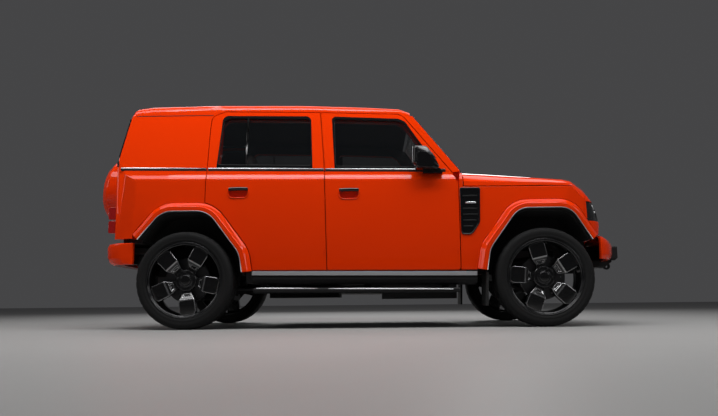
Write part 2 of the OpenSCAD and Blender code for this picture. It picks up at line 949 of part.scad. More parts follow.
module side_steps() {
    color("dimgray")
        vehicle()
            both_sides() {
                difference() {
                    rotate([0, rake * 0.5, 0])
                        along([[half_w - 140, 296], [half_w + 20, 284], [half_w + 28, 292], [half_w + 28, 312], [half_w + 18, 322], [half_w - 140, 322]],
                            R(586), F(-718));
                    for (i = [0:8])
                        block(R(640) + 180 * i, R(790) + 180 * i, half_w - 90, half_w - 20, 306, 400);
                }
                for (x = [R(700), 0, F(-850)])
                    block(x, x + 60, half_w - 220, half_w - 139, 300, floor_z - 0.3);
            }
}

module mud_flaps() {
    color("black")
        vehicle()
            both_sides()
                across([[F(-496), 165], [F(-480), 165], [F(-470), 439.7], [F(-486), 439.7]], 690, half_w + 18);
}

// Lining over a wheel: curved sheet and inner wall
module liner(arch, inner_y) {
    difference() {
        across(arch_fill(beside(arch_line(arch), -panel_gap)), inner_y, half_w - 60);
        across(arch_fill(beside(arch_line(arch), -12)), inner_y + 10, 1300);
        block(R(-900), F(900), 0, 1300, 0, 440);
        block(F(380), F(600), 0, 1300, 0, 712);
        block(R(-600), R(-380), 0, 1300, 0, 745);
        block(F(-210), F(210), inner_y - 20, inner_y + 20, 0, 650);
        block(R(-90), R(90), inner_y - 20, inner_y + 20, 0, 610);
    }
}

module arch_liners() {
    color("black")
        vehicle()
            both_sides() {
                liner(front_arch, 470);
                liner(rear_arch, 640);
            }
}

floor_z = 372;
module underbody() {
    color("dimgray")
        vehicle() {
            difference() {
                union() {
                    block(R(490), F(-640), -pillar_foot, pillar_foot, floor_z, floor_z + 46);
                    block(R(490), R(539), -pillar_foot, pillar_foot, floor_z, 700);
                    block(R(-590), R(538), -638, 638, 650, 700);
                    block(R(-590), R(-420), -pillar_foot, pillar_foot, 728, 765);
                    block(R(-590), R(-550), -700, 700, 560, 765);
                }
                block(R(-700), R(-595), -900, 900, 600, 900);
            }
            both_sides()
                block(R(570), F(-645), pillar_foot - 60, pillar_foot, floor_z + 40, sill_z + 30);
            for (side = [-1, 1]) {
                block(R(-560), R(470), side * 480 - 45, side * 480 + 45, 540, 650);
                block(F(-640), F(470), side * 400 - 45, side * 400 + 45, 470, 570);
                block(F(-700), F(-640), side * 400 - 45, side * 400 + 45, 400, 570);
            }
            block(F(420), F(470), -530, 530, 570, 1040);
            block(F(470), F(559.7), -445, 445, 500, 545);
        }
}
pillar_foot = half_w - 14 - door_t - seal_gap - pillar_t - panel_gap;

module scuttle() {
    color("black")
        vehicle() {
            difference() {
                union() {
                    block(F(-640) + panel_gap, F(-600), -pillar_foot - 20, pillar_foot + 20, 572, 1190);
                    across([
                        [F(-760), 1150],
                        [F(-600), 1150],
                        [F(-600), 1232],
                        [F(-660), 1248],
                        [F(-678), 1288],
                        [F(-735), 1294]], 197 - half_w, half_w - 197);
                }
                screen_slab(4);
            }
            for (side = [-1, 1])
                bonnet_hinge_arm(side);
        }
}

// Bonnet hinge
bonnet_rear_x = F(-651);
bonnet_axis = [bonnet_rear_x + hinge_inset + 4, 1302];
bonnet_hinge_y = 560;
module bonnet_hinge_arm(side) {
    translate([0, side * bonnet_hinge_y, 0]) {
        block(F(-645), F(-602), -9, 9, 1180, bonnet_axis[1] - 30);
        across([[bonnet_axis[0] - 8, 1230], [bonnet_axis[0] + 8, 1230], [bonnet_axis[0] + 8, bonnet_axis[1]], [bonnet_axis[0] - 8, bonnet_axis[1]]], -9, 9);
        translate([bonnet_axis[0], 9, bonnet_axis[1]])
            rotate([90, 0, 0])
                cylinder(r = 8, h = 18);
        translate([bonnet_axis[0], 33, bonnet_axis[1]])
            rotate([90, 0, 0])
                cylinder(r = hinge_pin_r, h = 66, $fn = 32);
    }
}

// Bonnet sections: [x at the flank, top at the side, lower edge, half width at the lower edge, forward bow]
bonnet_rows = [
    [bonnet_rear_x, 1313, 1180, 946, 0],
    [F(-450), 1300, 1178, 946, 0],
    [F(0), 1265, 1178, 946, 6],
    [F(200), 1252, 1178, 930, 20],
    [F(270), 1240, 1177, 916, 34],
    [F(330), 1208, 1112, 892, 50],
    [F(372), 1182, 1077, 870, 60],
    [F(400), 1164, 1075, 850, 66],
    [F(438), 1110, 1074, 812, 70],
    [F(446), 1088, 1073, 800, 70]];

function bonnet_half(row) =
    let (zt = row[1])
    let (zs = row[2])
    let (w = row[3])
    let (deep = zt - zs)
    [
        [w, zs],
        [w - 6, zs + deep * 0.3],
        [w - 34, zs + deep * 0.55],
        [w - 92, zs + deep * 0.86],
        [w - 150, zt],
        [w - 240, zt + 8],
        [w * 0.4, zt + 16],
        [0, zt + 18]];
// Drop of the inner skin below the outer, from the edge inwards
bonnet_drop = [0, 6, 16, 26, 26, 26, 26, 26];
function bonnet_line(row, inside) =
    let (half = bonnet_half(row))
    whole([for (i = [0:len(half) - 1])
        let (y = max(0, half[i][0] - (inside ? 24 : 0)))
        let (z = inside ? max(row[2] + i / 2, half[i][1] - bonnet_drop[i]) : half[i][1])
        [row[0] + row[4] * (1 - pow(y / row[3], 2)), i == 7 ? 0 : y, z]]);

module bonnet() {
    color("orangered")
        vehicle()
            difference() {
                union() {
                    shell(
                        [for (row = bonnet_rows) bonnet_line(row, false)],
                        [for (row = bonnet_rows) bonnet_line(row, true)]);
                    for (side = [-1, 1])
                        block(bonnet_rear_x + 4, bonnet_rear_x + 90, side * bonnet_hinge_y - 48, side * bonnet_hinge_y + 48, 1282, 1316);
                }
                for (side = [-1, 1])
                    translate([0, side * bonnet_hinge_y, 0]) {
                        block(bonnet_rear_x - 20, bonnet_axis[0] + 16, -15, 15, 1200, bonnet_axis[1] + 14);
                        translate([bonnet_axis[0], 36, bonnet_axis[1]])
                            rotate([90, 0, 0])
                                cylinder(r = hinge_pin_r + pin_play, h = 72, $fn = 32);
                    }
            }
}

gate_window = rounded([
    [189 - gate_w, 1392, 30],
    [gate_w - 189, 1392, 30],
    [gate_top_w - 150, 1808, 50],
    [150 - gate_top_w, 1808, 50]]);

module tailgate() {
    color("orangered")
        vehicle()
            difference() {
                intersection() {
                    across(gate_side, -1000, 1000);
                    along(gate_rear, R(-900), R(-400));
                }
                along(gate_window, R(-900), R(-400));
                for (z = gate_hinges) {
                    block(gate_axis_x - 30, gate_x + 100, -gate_w - 60, -gate_axis_y + 16, z - hinge_h / 2 - 6, z + hinge_h / 2 + 6);
                    translate([gate_axis_x, -gate_axis_y, z - hinge_h / 2 - 30])
                        cylinder(r = hinge_pin_r + pin_play, h = hinge_h + 60, $fn = 32);
                }
            }
}

// Tailgate hinge arms, fixed to the right rear pillar
module gate_hinge_arms() {
    for (z = gate_hinges) {
        block(gate_axis_x, gate_x + gate_t + shut_gap + 20, -gate_axis_y - 8, -gate_axis_y + 8, z - hinge_h / 2, z + hinge_h / 2);
        block(gate_x + gate_t + shut_gap, gate_x + gate_t + shut_gap + 20, -pillar_y(z) + 10, -gate_axis_y + 8,
            z - hinge_h / 2, z + hinge_h / 2);
        translate([gate_axis_x, -gate_axis_y, z - hinge_h / 2])
            cylinder(r = 8, h = hinge_h);
        translate([gate_axis_x, -gate_axis_y, z - hinge_h / 2 - 24])
            cylinder(r = hinge_pin_r, h = hinge_h + 48, $fn = 32);
    }
}

module tailgate_glass() {
    color("dimgray")
        vehicle()
            intersection() {
                across([
                    [gate_face(1345) + 12, 1345],
                    [gate_face(1345) + 12 + glass_t, 1345],
                    [gate_face(gate_high) + 12 + glass_t, gate_high],
                    [gate_face(gate_high) + 12, gate_high]], -1000, 1000);
                along(grown(gate_window, -0.3), R(-900), R(-400));
            }
}

spare_depth = 470;
spare_profile = rounded([
    [0, 0, 0],
    [spare_r - 40, 0, 0],
    [spare_r, 60, 30],
    [spare_r, spare_depth - 70, 30],
    [spare_r - 66, spare_depth, 40],
    [spare_r - 120, spare_depth - 8, 10],
    [0, spare_depth, 0]]);
spare_reach = max([for (p = spare_profile) (p[1] - spare_depth) * cos(spare_lean) + p[0] * sin(spare_lean)]);
module spare_cover() {
    color("orangered")
        vehicle()
            difference() {
                translate([rear_x + spare_reach, 0, spare_z])
                    rotate([0, spare_lean - 90, 0])
                        translate([0, 0, -spare_depth])
                            rotate_extrude()
                                polygon(spare_profile);
                across([
                    [gate_x - panel_gap, 300],
                    [gate_x - panel_gap, 1345],
                    [gate_top_x - panel_gap, gate_high],
                    [R(-400), 2100],
                    [R(400), 2100],
                    [R(400), 300]], -600, 600);
            }
}

wheel_y = track / 2;

// Puts a part drawn round the Z axis onto a wheel's axle, outboard face out
module at_wheel(x, side) {
    vehicle()
        on_side(side)
            translate([x, wheel_y, axle_z])
                rotate([-90, 0, 0])
                    children();
}

// Blocky spoke head: [radius, half width]
spoke_head = [[108, 38], [166, 67], [266, 71], [289, 55]];
spoke_face = [for (p = spoke_head) if (p[0] > 150) p];
function both_edges(half) = concat(half, [for (p = turned(half)) [p[0], -p[1]]]);

module rim(x, side, turn) {
    color("black")
        at_wheel(x, side)
            difference() {
                union() {
                    rotate_extrude($fn = 96)
                        polygon([
                            [rim_r, -132],
                            [rim_r, -120],
                            [rim_r - 16, -114],
                            [rim_r - 22, -50],
                            [rim_r - 30, 10],
                            [rim_r - 20, 70],
                            [rim_r - 16, 112],
                            [rim_r, 118],
                            [rim_r, 132],
                            [rim_r - 12, 132],
                            [rim_r - 26, 112],
                            [rim_r - 36, 60],
                            [rim_r - 42, 10],
                            [rim_r - 34, -50],
                            [rim_r - 28, -112],
                            [rim_r - 12, -132]]);
                    translate([0, 0, 18])
                        cylinder(r = 92, h = 56);
                    translate([0, 0, 18])
                        cylinder(r = 58, h = 66);
                    for (i = [0:4])
                        rotate([0, 0, -90 - turn + 72 * i]) {
                            translate([0, 0, 24])
                                linear_extrude(44)
                                    polygon([[60, -44], [60, 44], [150, 36], [rim_r - 35, 46], [rim_r - 35, -46], [150, -36]]);
                            hull() {
                                translate([0, 0, 44])
                                    linear_extrude(26)
                                        polygon(both_edges(spoke_head));
                                translate([0, 0, 70])
                                    linear_extrude(38)
                                        polygon(both_edges(spoke_face));
                            }
                        }
                }
                translate([0, 0, -40])
                    cylinder(r = spindle_r + pin_play, h = 100);
            }
}

module tyre(x, side) {
    color("black")
        at_wheel(x, side)
            rotate_extrude($fn = 96)
                polygon(concat(
                    [[rim_r + 0.3, -118], [rim_r + 0.3, -131]],
                    rounded([
                        [rim_r + 16, -tyre_w / 2 + 2, 8],
                        [rim_r + 48, -tyre_w / 2, 20],
                        [tyre_r - 14, -tyre_w / 2 + 12, 22],
                        [tyre_r, -tyre_w / 2 + 44, 40],
                        [tyre_r, tyre_w / 2 - 44, 40],
                        [tyre_r - 14, tyre_w / 2 - 12, 22],
                        [rim_r + 48, tyre_w / 2, 20],
                        [rim_r + 16, tyre_w / 2 - 2, 8]]),
                    [[rim_r + 0.3, 131], [rim_r + 0.3, 118]],
                    [[rim_r - 15, 111], [rim_r - 19, 70], [rim_r - 29, 10], [rim_r - 21, -50], [rim_r - 15, -113]]));
}

module brake_disc(x, side) {
    color("silver")
        at_wheel(x, side)
            difference() {
                union() {
                    translate([0, 0, -24])
                        cylinder(r = disc_r, h = 30);
                    translate([0, 0, -24])
                        cylinder(r = 88, h = 41.7);
                }
                translate([0, 0, -60])
                    cylinder(r = spindle_r + pin_play, h = 120);
                for (i = [0:5])
                    rotate([0, 0, 60 * i])
                        translate([disc_r - 34, 0, -40])
                            cylinder(r = 6, h = 80, $fn = 24);
            }
}

kingpin_y = wheel_y - kingpin_in;
kingpin_r = 15;
upper_ball = 165;
lower_ball = -150;

// Upright with spindle, caliper and upper and lower pins
module knuckle(side) {
    color("dimgray")
        vehicle()
            on_side(side)
                translate([xf, 0, axle_z]) {
                    translate([0, wheel_y + 58, 0])
                        rotate([90, 0, 0])
                            cylinder(r = spindle_r, h = kingpin_in + 58);
                    difference() {
                        translate([0, kingpin_y + 30, 0])
                            rotate([90, 0, 0])
                                cylinder(r = 74, h = 60);
                        block(-90, 90, kingpin_y + 31, kingpin_y + 60, -90, 90);
                    }
                    block(-28, 28, kingpin_y - 26, kingpin_y + 26, lower_ball + 38, upper_ball - 38);
                    translate([0, kingpin_y, lower_ball - 24])
                        cylinder(r = kingpin_r, h = upper_ball - lower_ball + 48, $fn = 32);
                    block(-190, -70, kingpin_y - 26, kingpin_y - 4, -40, -6);
                }
}

// Wishbone from the pivot beam at y0 out to the kingpin, with an eye around the pin
module wishbone(x, y0, z0, z1) {
    difference() {
        union() {
            for (d = [-150, 150])
                hull() {
                    translate([x + d, y0, z0])
                        rotate([0, 90, 0])
                            cylinder(r = 18, h = 44, center = true, $fn = 24);
                    translate([x, kingpin_y, z1])
                        cylinder(r = 22, h = 30, center = true, $fn = 24);
                }
            translate([x, kingpin_y, z1])
                cylinder(r = 28, h = 34, center = true, $fn = 32);
        }
        translate([x, kingpin_y, z1])
            cylinder(r = kingpin_r + pin_play, h = 120, center = true, $fn = 32);
    }
}

module front_suspension() {
    color("dimgray")
        vehicle() {
            both_sides() {
                wishbone(xf, 372, axle_z - 60, axle_z + lower_ball - 0.5);
                wishbone(xf, 472, axle_z + upper_ball - 4, axle_z + upper_ball + 0.5);
                for (d = [-150, 150])
                    block(F(d - 12), F(d + 12), 445.3, 458, axle_z + upper_ball - 18, axle_z + upper_ball + 5);
            }
            block(F(-180), F(180), -380, 380, 320, 360);
            for (side = [-1, 1], d = [-150, 150])
                block(F(d - 30), F(d + 30), side * 385 - 25, side * 385 + 25, 330, 470);
        }
}

module rear_suspension() {
    color("dimgray")
        vehicle() {
            both_sides() {
                translate([xr, wheel_y + 58, axle_z])
                    rotate([90, 0, 0])
                        cylinder(r = spindle_r, h = 160);
                translate([xr, wheel_y - 40, axle_z])
                    rotate([90, 0, 0])
                        cylinder(r = 74, h = 62);
                block(R(-30), R(30), wheel_y - 120, wheel_y - 44, 240, 560);
                block(R(-40), R(40), 380, wheel_y - 60, 250, 290);
                block(R(-36), R(36), 420, wheel_y - 60, 506, 539.7);
            }
            block(R(-200), R(200), -430, 430, 236, 276);
            for (side = [-1, 1], d = [-150, 150])
                block(R(d - 30), R(d + 30), side * 480 - 60, side * 480 + 40, 240, 539.7);
        }
}

module engine() {
    color("gray")
        vehicle() {
            block(F(-480), F(260), -300, 300, 600, 1080);
            block(F(-300), F(160), -240, 240, 400, 601);
            for (side = [-1, 1])
                block(F(-200), F(-80), side * 330 - 35, side * 330 + 35, 570.3, 660);
        }
}

module driveline() {
    color("dimgray")
        vehicle() {
            block(F(-1350), F(-640), -150, 150, 170 + 60, floor_z - 0.3);
            translate([R(130), 0, 330])
                rotate([0, 90, 0])
                    cylinder(r = 38, h = wheelbase - 1479);
            translate([xr, 0, 400]) {
                sphere(r = 118);
                rotate([90, 0, 0])
                    cylinder(r = 22, h = 2 * (wheel_y - 120.3), center = true);
            }
            block(R(-60), R(60), -60, 60, 276.3, 330);
        }
}

module exhaust() {
    color("silver")
        vehicle() {
            translate([R(-520), -330, 330])
                rotate([0, 90, 0])
                    cylinder(r = 32, h = 1480);
            block(R(-560), R(-300), -420, -200, 300, 470);
            block(R(-450), R(-400), -360, -330, 460, 649.7);
            block(R(560), R(600), -345, -315, 350, floor_z - 0.3);
        }
}

module fuel_tank() {
    color("black")
        vehicle()
            block(R(560), R(1250), 90, 620, 250, floor_z - 0.3);
}

seat_z = floor_z + 46;
// Seat in side view, back at x = 0
module seat(x, y0, y1, h) {
    across(rounded([
        [x + 60, seat_z + 0.3, 10],
        [x + 480, seat_z + 0.3, 10],
        [x + 560, h + 60, 50],
        [x + 540, h + 150, 50],
        [x + 110, h + 120, 40],
        [x - 70, h + 690, 45],
        [x - 170, h + 680, 40],
        [x - 40, h, 60]]), y0, y1);
    across(rounded([
        [x - 84, h + 710, 20],
        [x - 104, h + 860, 28],
        [x - 180, h + 850, 28],
        [x - 176, h + 710, 20]]), (y0 + y1) / 2 - 140, (y0 + y1) / 2 + 140);
    for (d = [-70, 70])
        translate([x - 132, (y0 + y1) / 2 + d, h + 600])
            cylinder(r = 8, h = 200, $fn = 24);
}

module front_seats() {
    color("dimgray")
        vehicle()
            for (side = [-1, 1])
                seat(F(-1700), side * 380 - 250, side * 380 + 250, 700);
}

module rear_bench() {
    color("dimgray")
        vehicle() {
            across(rounded([
                [R(550), seat_z + 0.3, 10],
                [R(1040), seat_z + 0.3, 10],
                [R(1130), 790, 50],
                [R(1110), 870, 50],
                [R(690), 840, 40],
                [R(540), 1390, 45],
                [R(440), 1380, 40],
                [R(545), 720, 60]]), -640, 640);
            for (y = [-420, 0, 420]) {
                across(rounded([
                    [R(520), 1410, 20],
                    [R(500), 1560, 28],
                    [R(424), 1550, 28],
                    [R(436), 1410, 20]]), y - 130, y + 130);
                for (d = [-60, 60])
                    translate([R(478), y + d, 1300])
                        cylinder(r = 8, h = 200, $fn = 24);
            }
        }
}

column_y = 380;
column_lean = 24;
column_end = [F(-1010), 1060];

// Local frame of the steering column, with Z along it towards the driver
module on_column() {
    vehicle()
        translate([column_end[0], column_y, column_end[1]])
            rotate([0, -90 + column_lean, 0])
                children();
}

module dashboard() {
    color("black") {
        vehicle()
            across(rounded([
                [F(-640) + panel_gap - 0.3, 760, 0],
                [F(-640) + panel_gap - 0.3, 1140, 0],
                [F(-765), 1148, 0],
                [F(-765), 1230, 40],
                [F(-960), 1180, 60],
                [F(-940), 940, 60],
                [F(-860), 760, 40]]), -pillar_foot + 20, pillar_foot - 20);
        on_column() {
            translate([0, 0, -110])
                cylinder(r = 34, h = 150);
            translate([0, 0, -110])
                cylinder(r = 12, h = 220);
        }
    }
}

module steering_wheel() {
    color("black")
        on_column()
            difference() {
                union() {
                    translate([0, 0, 70])
                        rotate_extrude()
                            translate([185, 0])
                                circle(r = 15, $fn = 24);
                    translate([0, 0, 48])
                        cylinder(r = 58, h = 66);
                    for (a = [0, 180, 270])
                        rotate([0, 0, a + 90])
                            translate([40, -22, 60])
                                cube([140, 44, 18]);
                }
                translate([0, 0, 20])
                    cylinder(r = 12 + pin_play, h = 92);
            }
}

body_sides();
roof();
windscreen();
wings();
side_vents();
flares();
nose();
headlamps();
grille();
front_bumper();
front_skid();
rear_bumper();
tail_lamps();
sills();
sill_trims();
side_steps();
mud_flaps();
arch_liners();
underbody();
scuttle();
engine();
driveline();
exhaust();
fuel_tank();
front_seats();
rear_bench();
dashboard();
front_suspension();
rear_suspension();
bonnet();
front_door(1);  // door_front_left
front_door(-1);  // door_front_right
rear_door(1);  // door_rear_left
rear_door(-1);  // door_rear_right
front_door_glass(1);  // glass_front_left
front_door_glass(-1);  // glass_front_right
rear_door_glass(1);  // glass_rear_left
rear_door_glass(-1);  // glass_rear_right
mirror_unit(1);  // mirror_left
mirror_unit(-1);  // mirror_right
tailgate();
tailgate_glass();
spare_cover();
knuckle(1);  // knuckle_left
knuckle(-1);  // knuckle_right
steering_wheel();
rim(xf, 1, front_spoke_turn);  // rim_front_left
rim(xf, -1, front_spoke_turn);  // rim_front_right
rim(xr, 1, rear_spoke_turn);  // rim_rear_left
rim(xr, -1, rear_spoke_turn);  // rim_rear_right
tyre(xf, 1);  // tyre_front_left
tyre(xf, -1);  // tyre_front_right
tyre(xr, 1);  // tyre_rear_left
tyre(xr, -1);  // tyre_rear_right
brake_disc(xf, 1);  // disc_front_left
brake_disc(xf, -1);  // disc_front_right
brake_disc(xr, 1);  // disc_rear_left
brake_disc(xr, -1);  // disc_rear_right
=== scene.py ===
"""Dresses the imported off-road wagon.

Paint, glass, rubber and trim go over the CAD frame, in a pale studio, seen from the photograph's place.
"""
import json
import math

import bpy
from mathutils import Matrix, Vector

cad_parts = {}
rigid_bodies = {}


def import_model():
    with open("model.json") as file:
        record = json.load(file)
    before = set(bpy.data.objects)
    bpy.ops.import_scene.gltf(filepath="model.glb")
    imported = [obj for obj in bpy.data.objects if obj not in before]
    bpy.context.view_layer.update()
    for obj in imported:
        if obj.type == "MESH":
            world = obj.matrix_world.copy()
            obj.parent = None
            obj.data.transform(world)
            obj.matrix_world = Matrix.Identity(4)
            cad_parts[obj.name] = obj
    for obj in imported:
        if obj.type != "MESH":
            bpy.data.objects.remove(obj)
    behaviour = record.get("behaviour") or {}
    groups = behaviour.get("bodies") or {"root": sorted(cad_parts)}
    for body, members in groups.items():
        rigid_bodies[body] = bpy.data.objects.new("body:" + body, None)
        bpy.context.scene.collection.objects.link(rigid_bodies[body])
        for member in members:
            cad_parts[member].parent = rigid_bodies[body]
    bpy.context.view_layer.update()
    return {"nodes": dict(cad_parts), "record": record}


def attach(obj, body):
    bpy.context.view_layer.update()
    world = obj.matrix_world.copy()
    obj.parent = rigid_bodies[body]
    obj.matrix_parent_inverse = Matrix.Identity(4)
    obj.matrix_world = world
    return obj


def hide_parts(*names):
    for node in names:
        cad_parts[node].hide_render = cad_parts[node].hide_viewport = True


for old in list(bpy.data.objects):
    bpy.data.objects.remove(old)
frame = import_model()
scene = bpy.context.scene

# ---- sizes shared with the CAD, in metres
SIDES = ((1, "left"), (-1, "right"))
SHIFT = 0.120  # X of the middle of the wheelbase
LIFT = 0.012  # added to every height below, except those of the wheels
XF, XR = 1.511, -1.511  # axles, from the middle of the wheelbase
HALF_W, FLARE_OUT = 0.957, 0.041
BELT_Y, BELT_Z, TUMBLE = HALF_W - 0.054, 1.330, 0.242  # foot of the upper side, and its lean
RAKE = math.tan(math.radians(0.7))
WAIST_FALL = 0.0172  # fall of the waist strip towards the nose
WHEEL_Y, TYRE_R, RIM_R = 0.853, 0.412, 0.322
HINGE_ZS, HINGE_HALF = (0.640, 1.080), 0.0158  # slots for the door hinges


def F(d):
    """X of a place d millimetres ahead of the front axle."""
    return XF + d / 1000 + SHIFT


def R(d):
    """X of a place d millimetres ahead of the rear axle."""
    return XR + d / 1000 + SHIFT


# ---- materials
COAT_ROUGH, ROUGH_SPAN, NOISE_DETAIL, BUMP_DEEP = 0.04, 0.04, 4, 0.002


def material(name, base, rough=0.5, metal=0.0, coat=0.0, vary=0.06, scale=40.0, bump=0.0, spec=0.5, alpha=1.0,
             emit=None, emit_strength=0.0, coat_ior=1.5):
    """Principled shader whose colour, roughness and bump vary with one noise."""
    m = bpy.data.materials.new(name)
    m.use_nodes = True
    nt = m.node_tree
    b = nt.nodes["Principled BSDF"]
    b.inputs["Base Color"].default_value = (*base, 1)
    b.inputs["Roughness"].default_value = rough
    b.inputs["Metallic"].default_value = metal
    b.inputs["Coat Weight"].default_value = coat
    b.inputs["Coat Roughness"].default_value = COAT_ROUGH
    b.inputs["Coat IOR"].default_value = coat_ior
    b.inputs["Specular IOR Level"].default_value = spec
    b.inputs["Alpha"].default_value = alpha
    if emit:
        b.inputs["Emission Color"].default_value = (*emit, 1)
        b.inputs["Emission Strength"].default_value = emit_strength
    tex = nt.nodes.new("ShaderNodeTexCoord")
    noise = nt.nodes.new("ShaderNodeTexNoise")
    noise.inputs["Scale"].default_value = scale
    noise.inputs["Detail"].default_value = NOISE_DETAIL
    nt.links.new(tex.outputs["Object"], noise.inputs["Vector"])
    ramp = nt.nodes.new("ShaderNodeValToRGB")
    lo = [c * (1 - vary) for c in base]
    hi = [min(1, c * (1 + vary)) for c in base]
    ramp.color_ramp.elements[0].color = (*lo, 1)
    ramp.color_ramp.elements[1].color = (*hi, 1)
    nt.links.new(noise.outputs["Fac"], ramp.inputs["Fac"])
    nt.links.new(ramp.outputs["Color"], b.inputs["Base Color"])
    span = nt.nodes.new("ShaderNodeMapRange")
    span.inputs["To Min"].default_value = max(0.0, rough - ROUGH_SPAN)
    span.inputs["To Max"].default_value = min(1.0, rough + ROUGH_SPAN)
    nt.links.new(noise.outputs["Fac"], span.inputs["Value"])
    nt.links.new(span.outputs["Result"], b.inputs["Roughness"])
    if bump:
        bn = nt.nodes.new("ShaderNodeBump")
        bn.inputs["Strength"].default_value = bump
        bn.inputs["Distance"].default_value = BUMP_DEEP
        nt.links.new(noise.outputs["Fac"], bn.inputs["Height"])
        nt.links.new(bn.outputs["Normal"], b.inputs["Normal"])
    return m


PAINT = material("orange_paint", (0.80, 0.036, 0.0), rough=0.5, coat=1.0, vary=0.03, scale=900, spec=0.0,
                 coat_ior=1.36)
GLASS = material("dark_glass", (0.006, 0.007, 0.008), rough=0.05, vary=0.05, scale=6, spec=0.45, alpha=0.42)
LENS = material("lamp_lens", (0.010, 0.011, 0.012), rough=0.06, coat=0.5, vary=0.1, scale=120, spec=0.5)
# white with a faint glow: the lamp's ring and cells, and the small painted highlights on the lamp's side
LIT_LENS_AND_GLINT = material("lamp_cell", (0.85, 0.87, 0.88), rough=0.1, vary=0.05, scale=300, emit=(1, 1, 1),
                    emit_strength=0.25)
RED_LENS = material("red_lens", (0.32, 0.006, 0.005), rough=0.12, coat=0.6, vary=0.1, scale=150)
GLOSS_BLACK = material("gloss_black", (0.003, 0.003, 0.0035), rough=0.14, coat=0.3, vary=0.1, scale=60, spec=0.35)
BLACK = material("black_plastic", (0.008, 0.008, 0.0085), rough=0.6, vary=0.2, scale=260, bump=0.15, spec=0.2)
# matte black for liners, flaps, joints, gaps and the flares' inner faces; on the fuel tank it is painted shade
DEEP = material("matte_black_and_shade", (0.008, 0.008, 0.008), rough=0.9, vary=0.2, scale=90)
BRIGHT = material("bright_trim", (0.62, 0.63, 0.65), rough=0.24, metal=1.0, vary=0.05, scale=200)
SILVER = material("silver_strip", (0.30, 0.30, 0.305), rough=0.45, metal=0.6, vary=0.06, scale=200)
SATIN = material("satin_grey", (0.13, 0.13, 0.135), rough=0.5, metal=0.3, vary=0.06, scale=200)
# chassis black; on the driveline it is painted shade
CHASSIS = material("chassis", (0.018, 0.018, 0.020), rough=0.6, vary=0.25, scale=40, bump=0.1)
CAST = material("cast_metal", (0.30, 0.31, 0.32), rough=0.55, metal=0.8, vary=0.15, scale=120, bump=0.2)
STEEL = material("disc_steel", (0.05, 0.05, 0.052), rough=0.42, metal=0.9, vary=0.1, scale=300)
SEAT = material("seat_cover", (0.30, 0.29, 0.28), rough=0.7, vary=0.1, scale=320, bump=0.3)
RIM = material("rim_black", (0.003, 0.003, 0.0033), rough=0.2, coat=0.5, vary=0.1, scale=80, spec=0.3)
TRIM = material("cabin_trim", (0.030, 0.030, 0.032), rough=0.75, vary=0.15, scale=300, bump=0.1, spec=0.2)
# bright grey for the bevels of the spoke pads: painted highlights along their edges
PAD_EDGE_GLINT = material("pad_edge_glint", (0.30, 0.30, 0.305), rough=0.16, metal=0.9, vary=0.05, scale=80)
# faint grey for the bevels of barrel, hub, arms and nuts: painted highlights, fainter than on the pads
FRAME_EDGE_SHEEN = material("frame_edge_sheen", (0.045, 0.045, 0.047), rough=0.22, metal=0.8, vary=0.05, scale=80)
TYRE = material("tyre_rubber", (0.013, 0.013, 0.0133), rough=0.75, vary=0.2, scale=180, bump=0.2, spec=0.10)
MIRROR = material("mirror_glass", (0.8, 0.82, 0.84), rough=0.03, metal=1.0, vary=0.02, scale=20)

SLOT_MATERIAL = {
    "paint": PAINT, "glass": GLASS, "lamp_lens": LENS, "tail_lens": RED_LENS, "gloss_black": GLOSS_BLACK,
    "black_plastic": BLACK, "bright_trim": SILVER, "chassis": CHASSIS, "cast_metal": CAST, "steel": STEEL,
    "upholstery": SEAT, "rim": RIM, "tyre": TYRE,
}
# nodes that look darker in the photograph than the rest of their slot: the arch liners and mud flaps are black,
# while on the fuel tank and driveline under the body the darker material is painted shade
NODE_MATERIAL = {
    "arch_liners": DEEP, "mud_flaps": DEEP, "fuel_tank": DEEP, "driveline": CHASSIS, "side_steps": BLACK,
    "sill_trims": SATIN,
}


# ---- the CAD nodes
def dress(obj, width, angle=32):
    """Softens the edges of a CAD node and smooths its curved faces."""
    for p in obj.data.polygons:
        p.use_smooth = True
    w = obj.modifiers.new("weld", "WELD")
    w.merge_threshold = 0.00002
    d = obj.modifiers.new("planar", "DECIMATE")
    d.decimate_type = "DISSOLVE"
    d.angle_limit = math.radians(0.4)
    b = obj.modifiers.new("edge", "BEVEL")
    b.width = width
    b.segments = 2
    b.limit_method = "ANGLE"
    b.angle_limit = math.radians(angle)
    b.use_clamp_overlap = True
    n = obj.modifiers.new("normals", "WEIGHTED_NORMAL")
    n.keep_sharp = False
    n.weight = 80


def second_material(obj, mat, chosen):
    """Gives another material to the faces of a node that pass a test."""
    obj.data.materials.append(mat)
    for p in obj.data.polygons:
        if chosen(p):
            p.material_index = 1


def in_arch(p):
    """True for a face of a flare that looks at the wheel."""
    hub = Vector((F(0) if p.center.x > SHIFT else R(0), p.center.y, TYRE_R))
    return abs(p.normal.y) < 0.6 and p.normal.dot((hub - p.center).normalized()) > 0.3


# how far a face with normal n, on the side of that sign, looks into the cabin
INSIDE = {f"door_{end}_{side}": (lambda n, sign: -n.y * sign) for end in ("front", "rear") for _, side in SIDES}
INSIDE["body_sides"] = lambda n, sign: -n.y * sign
INSIDE["roof"] = lambda n, sign: -n.z
INSIDE["tailgate"] = lambda n, sign: n.x
FACES_IN, LINED_Y = 0.4, HALF_W - 0.03
GLASS_EDGE, PANEL_EDGE = 0.0008, 0.003

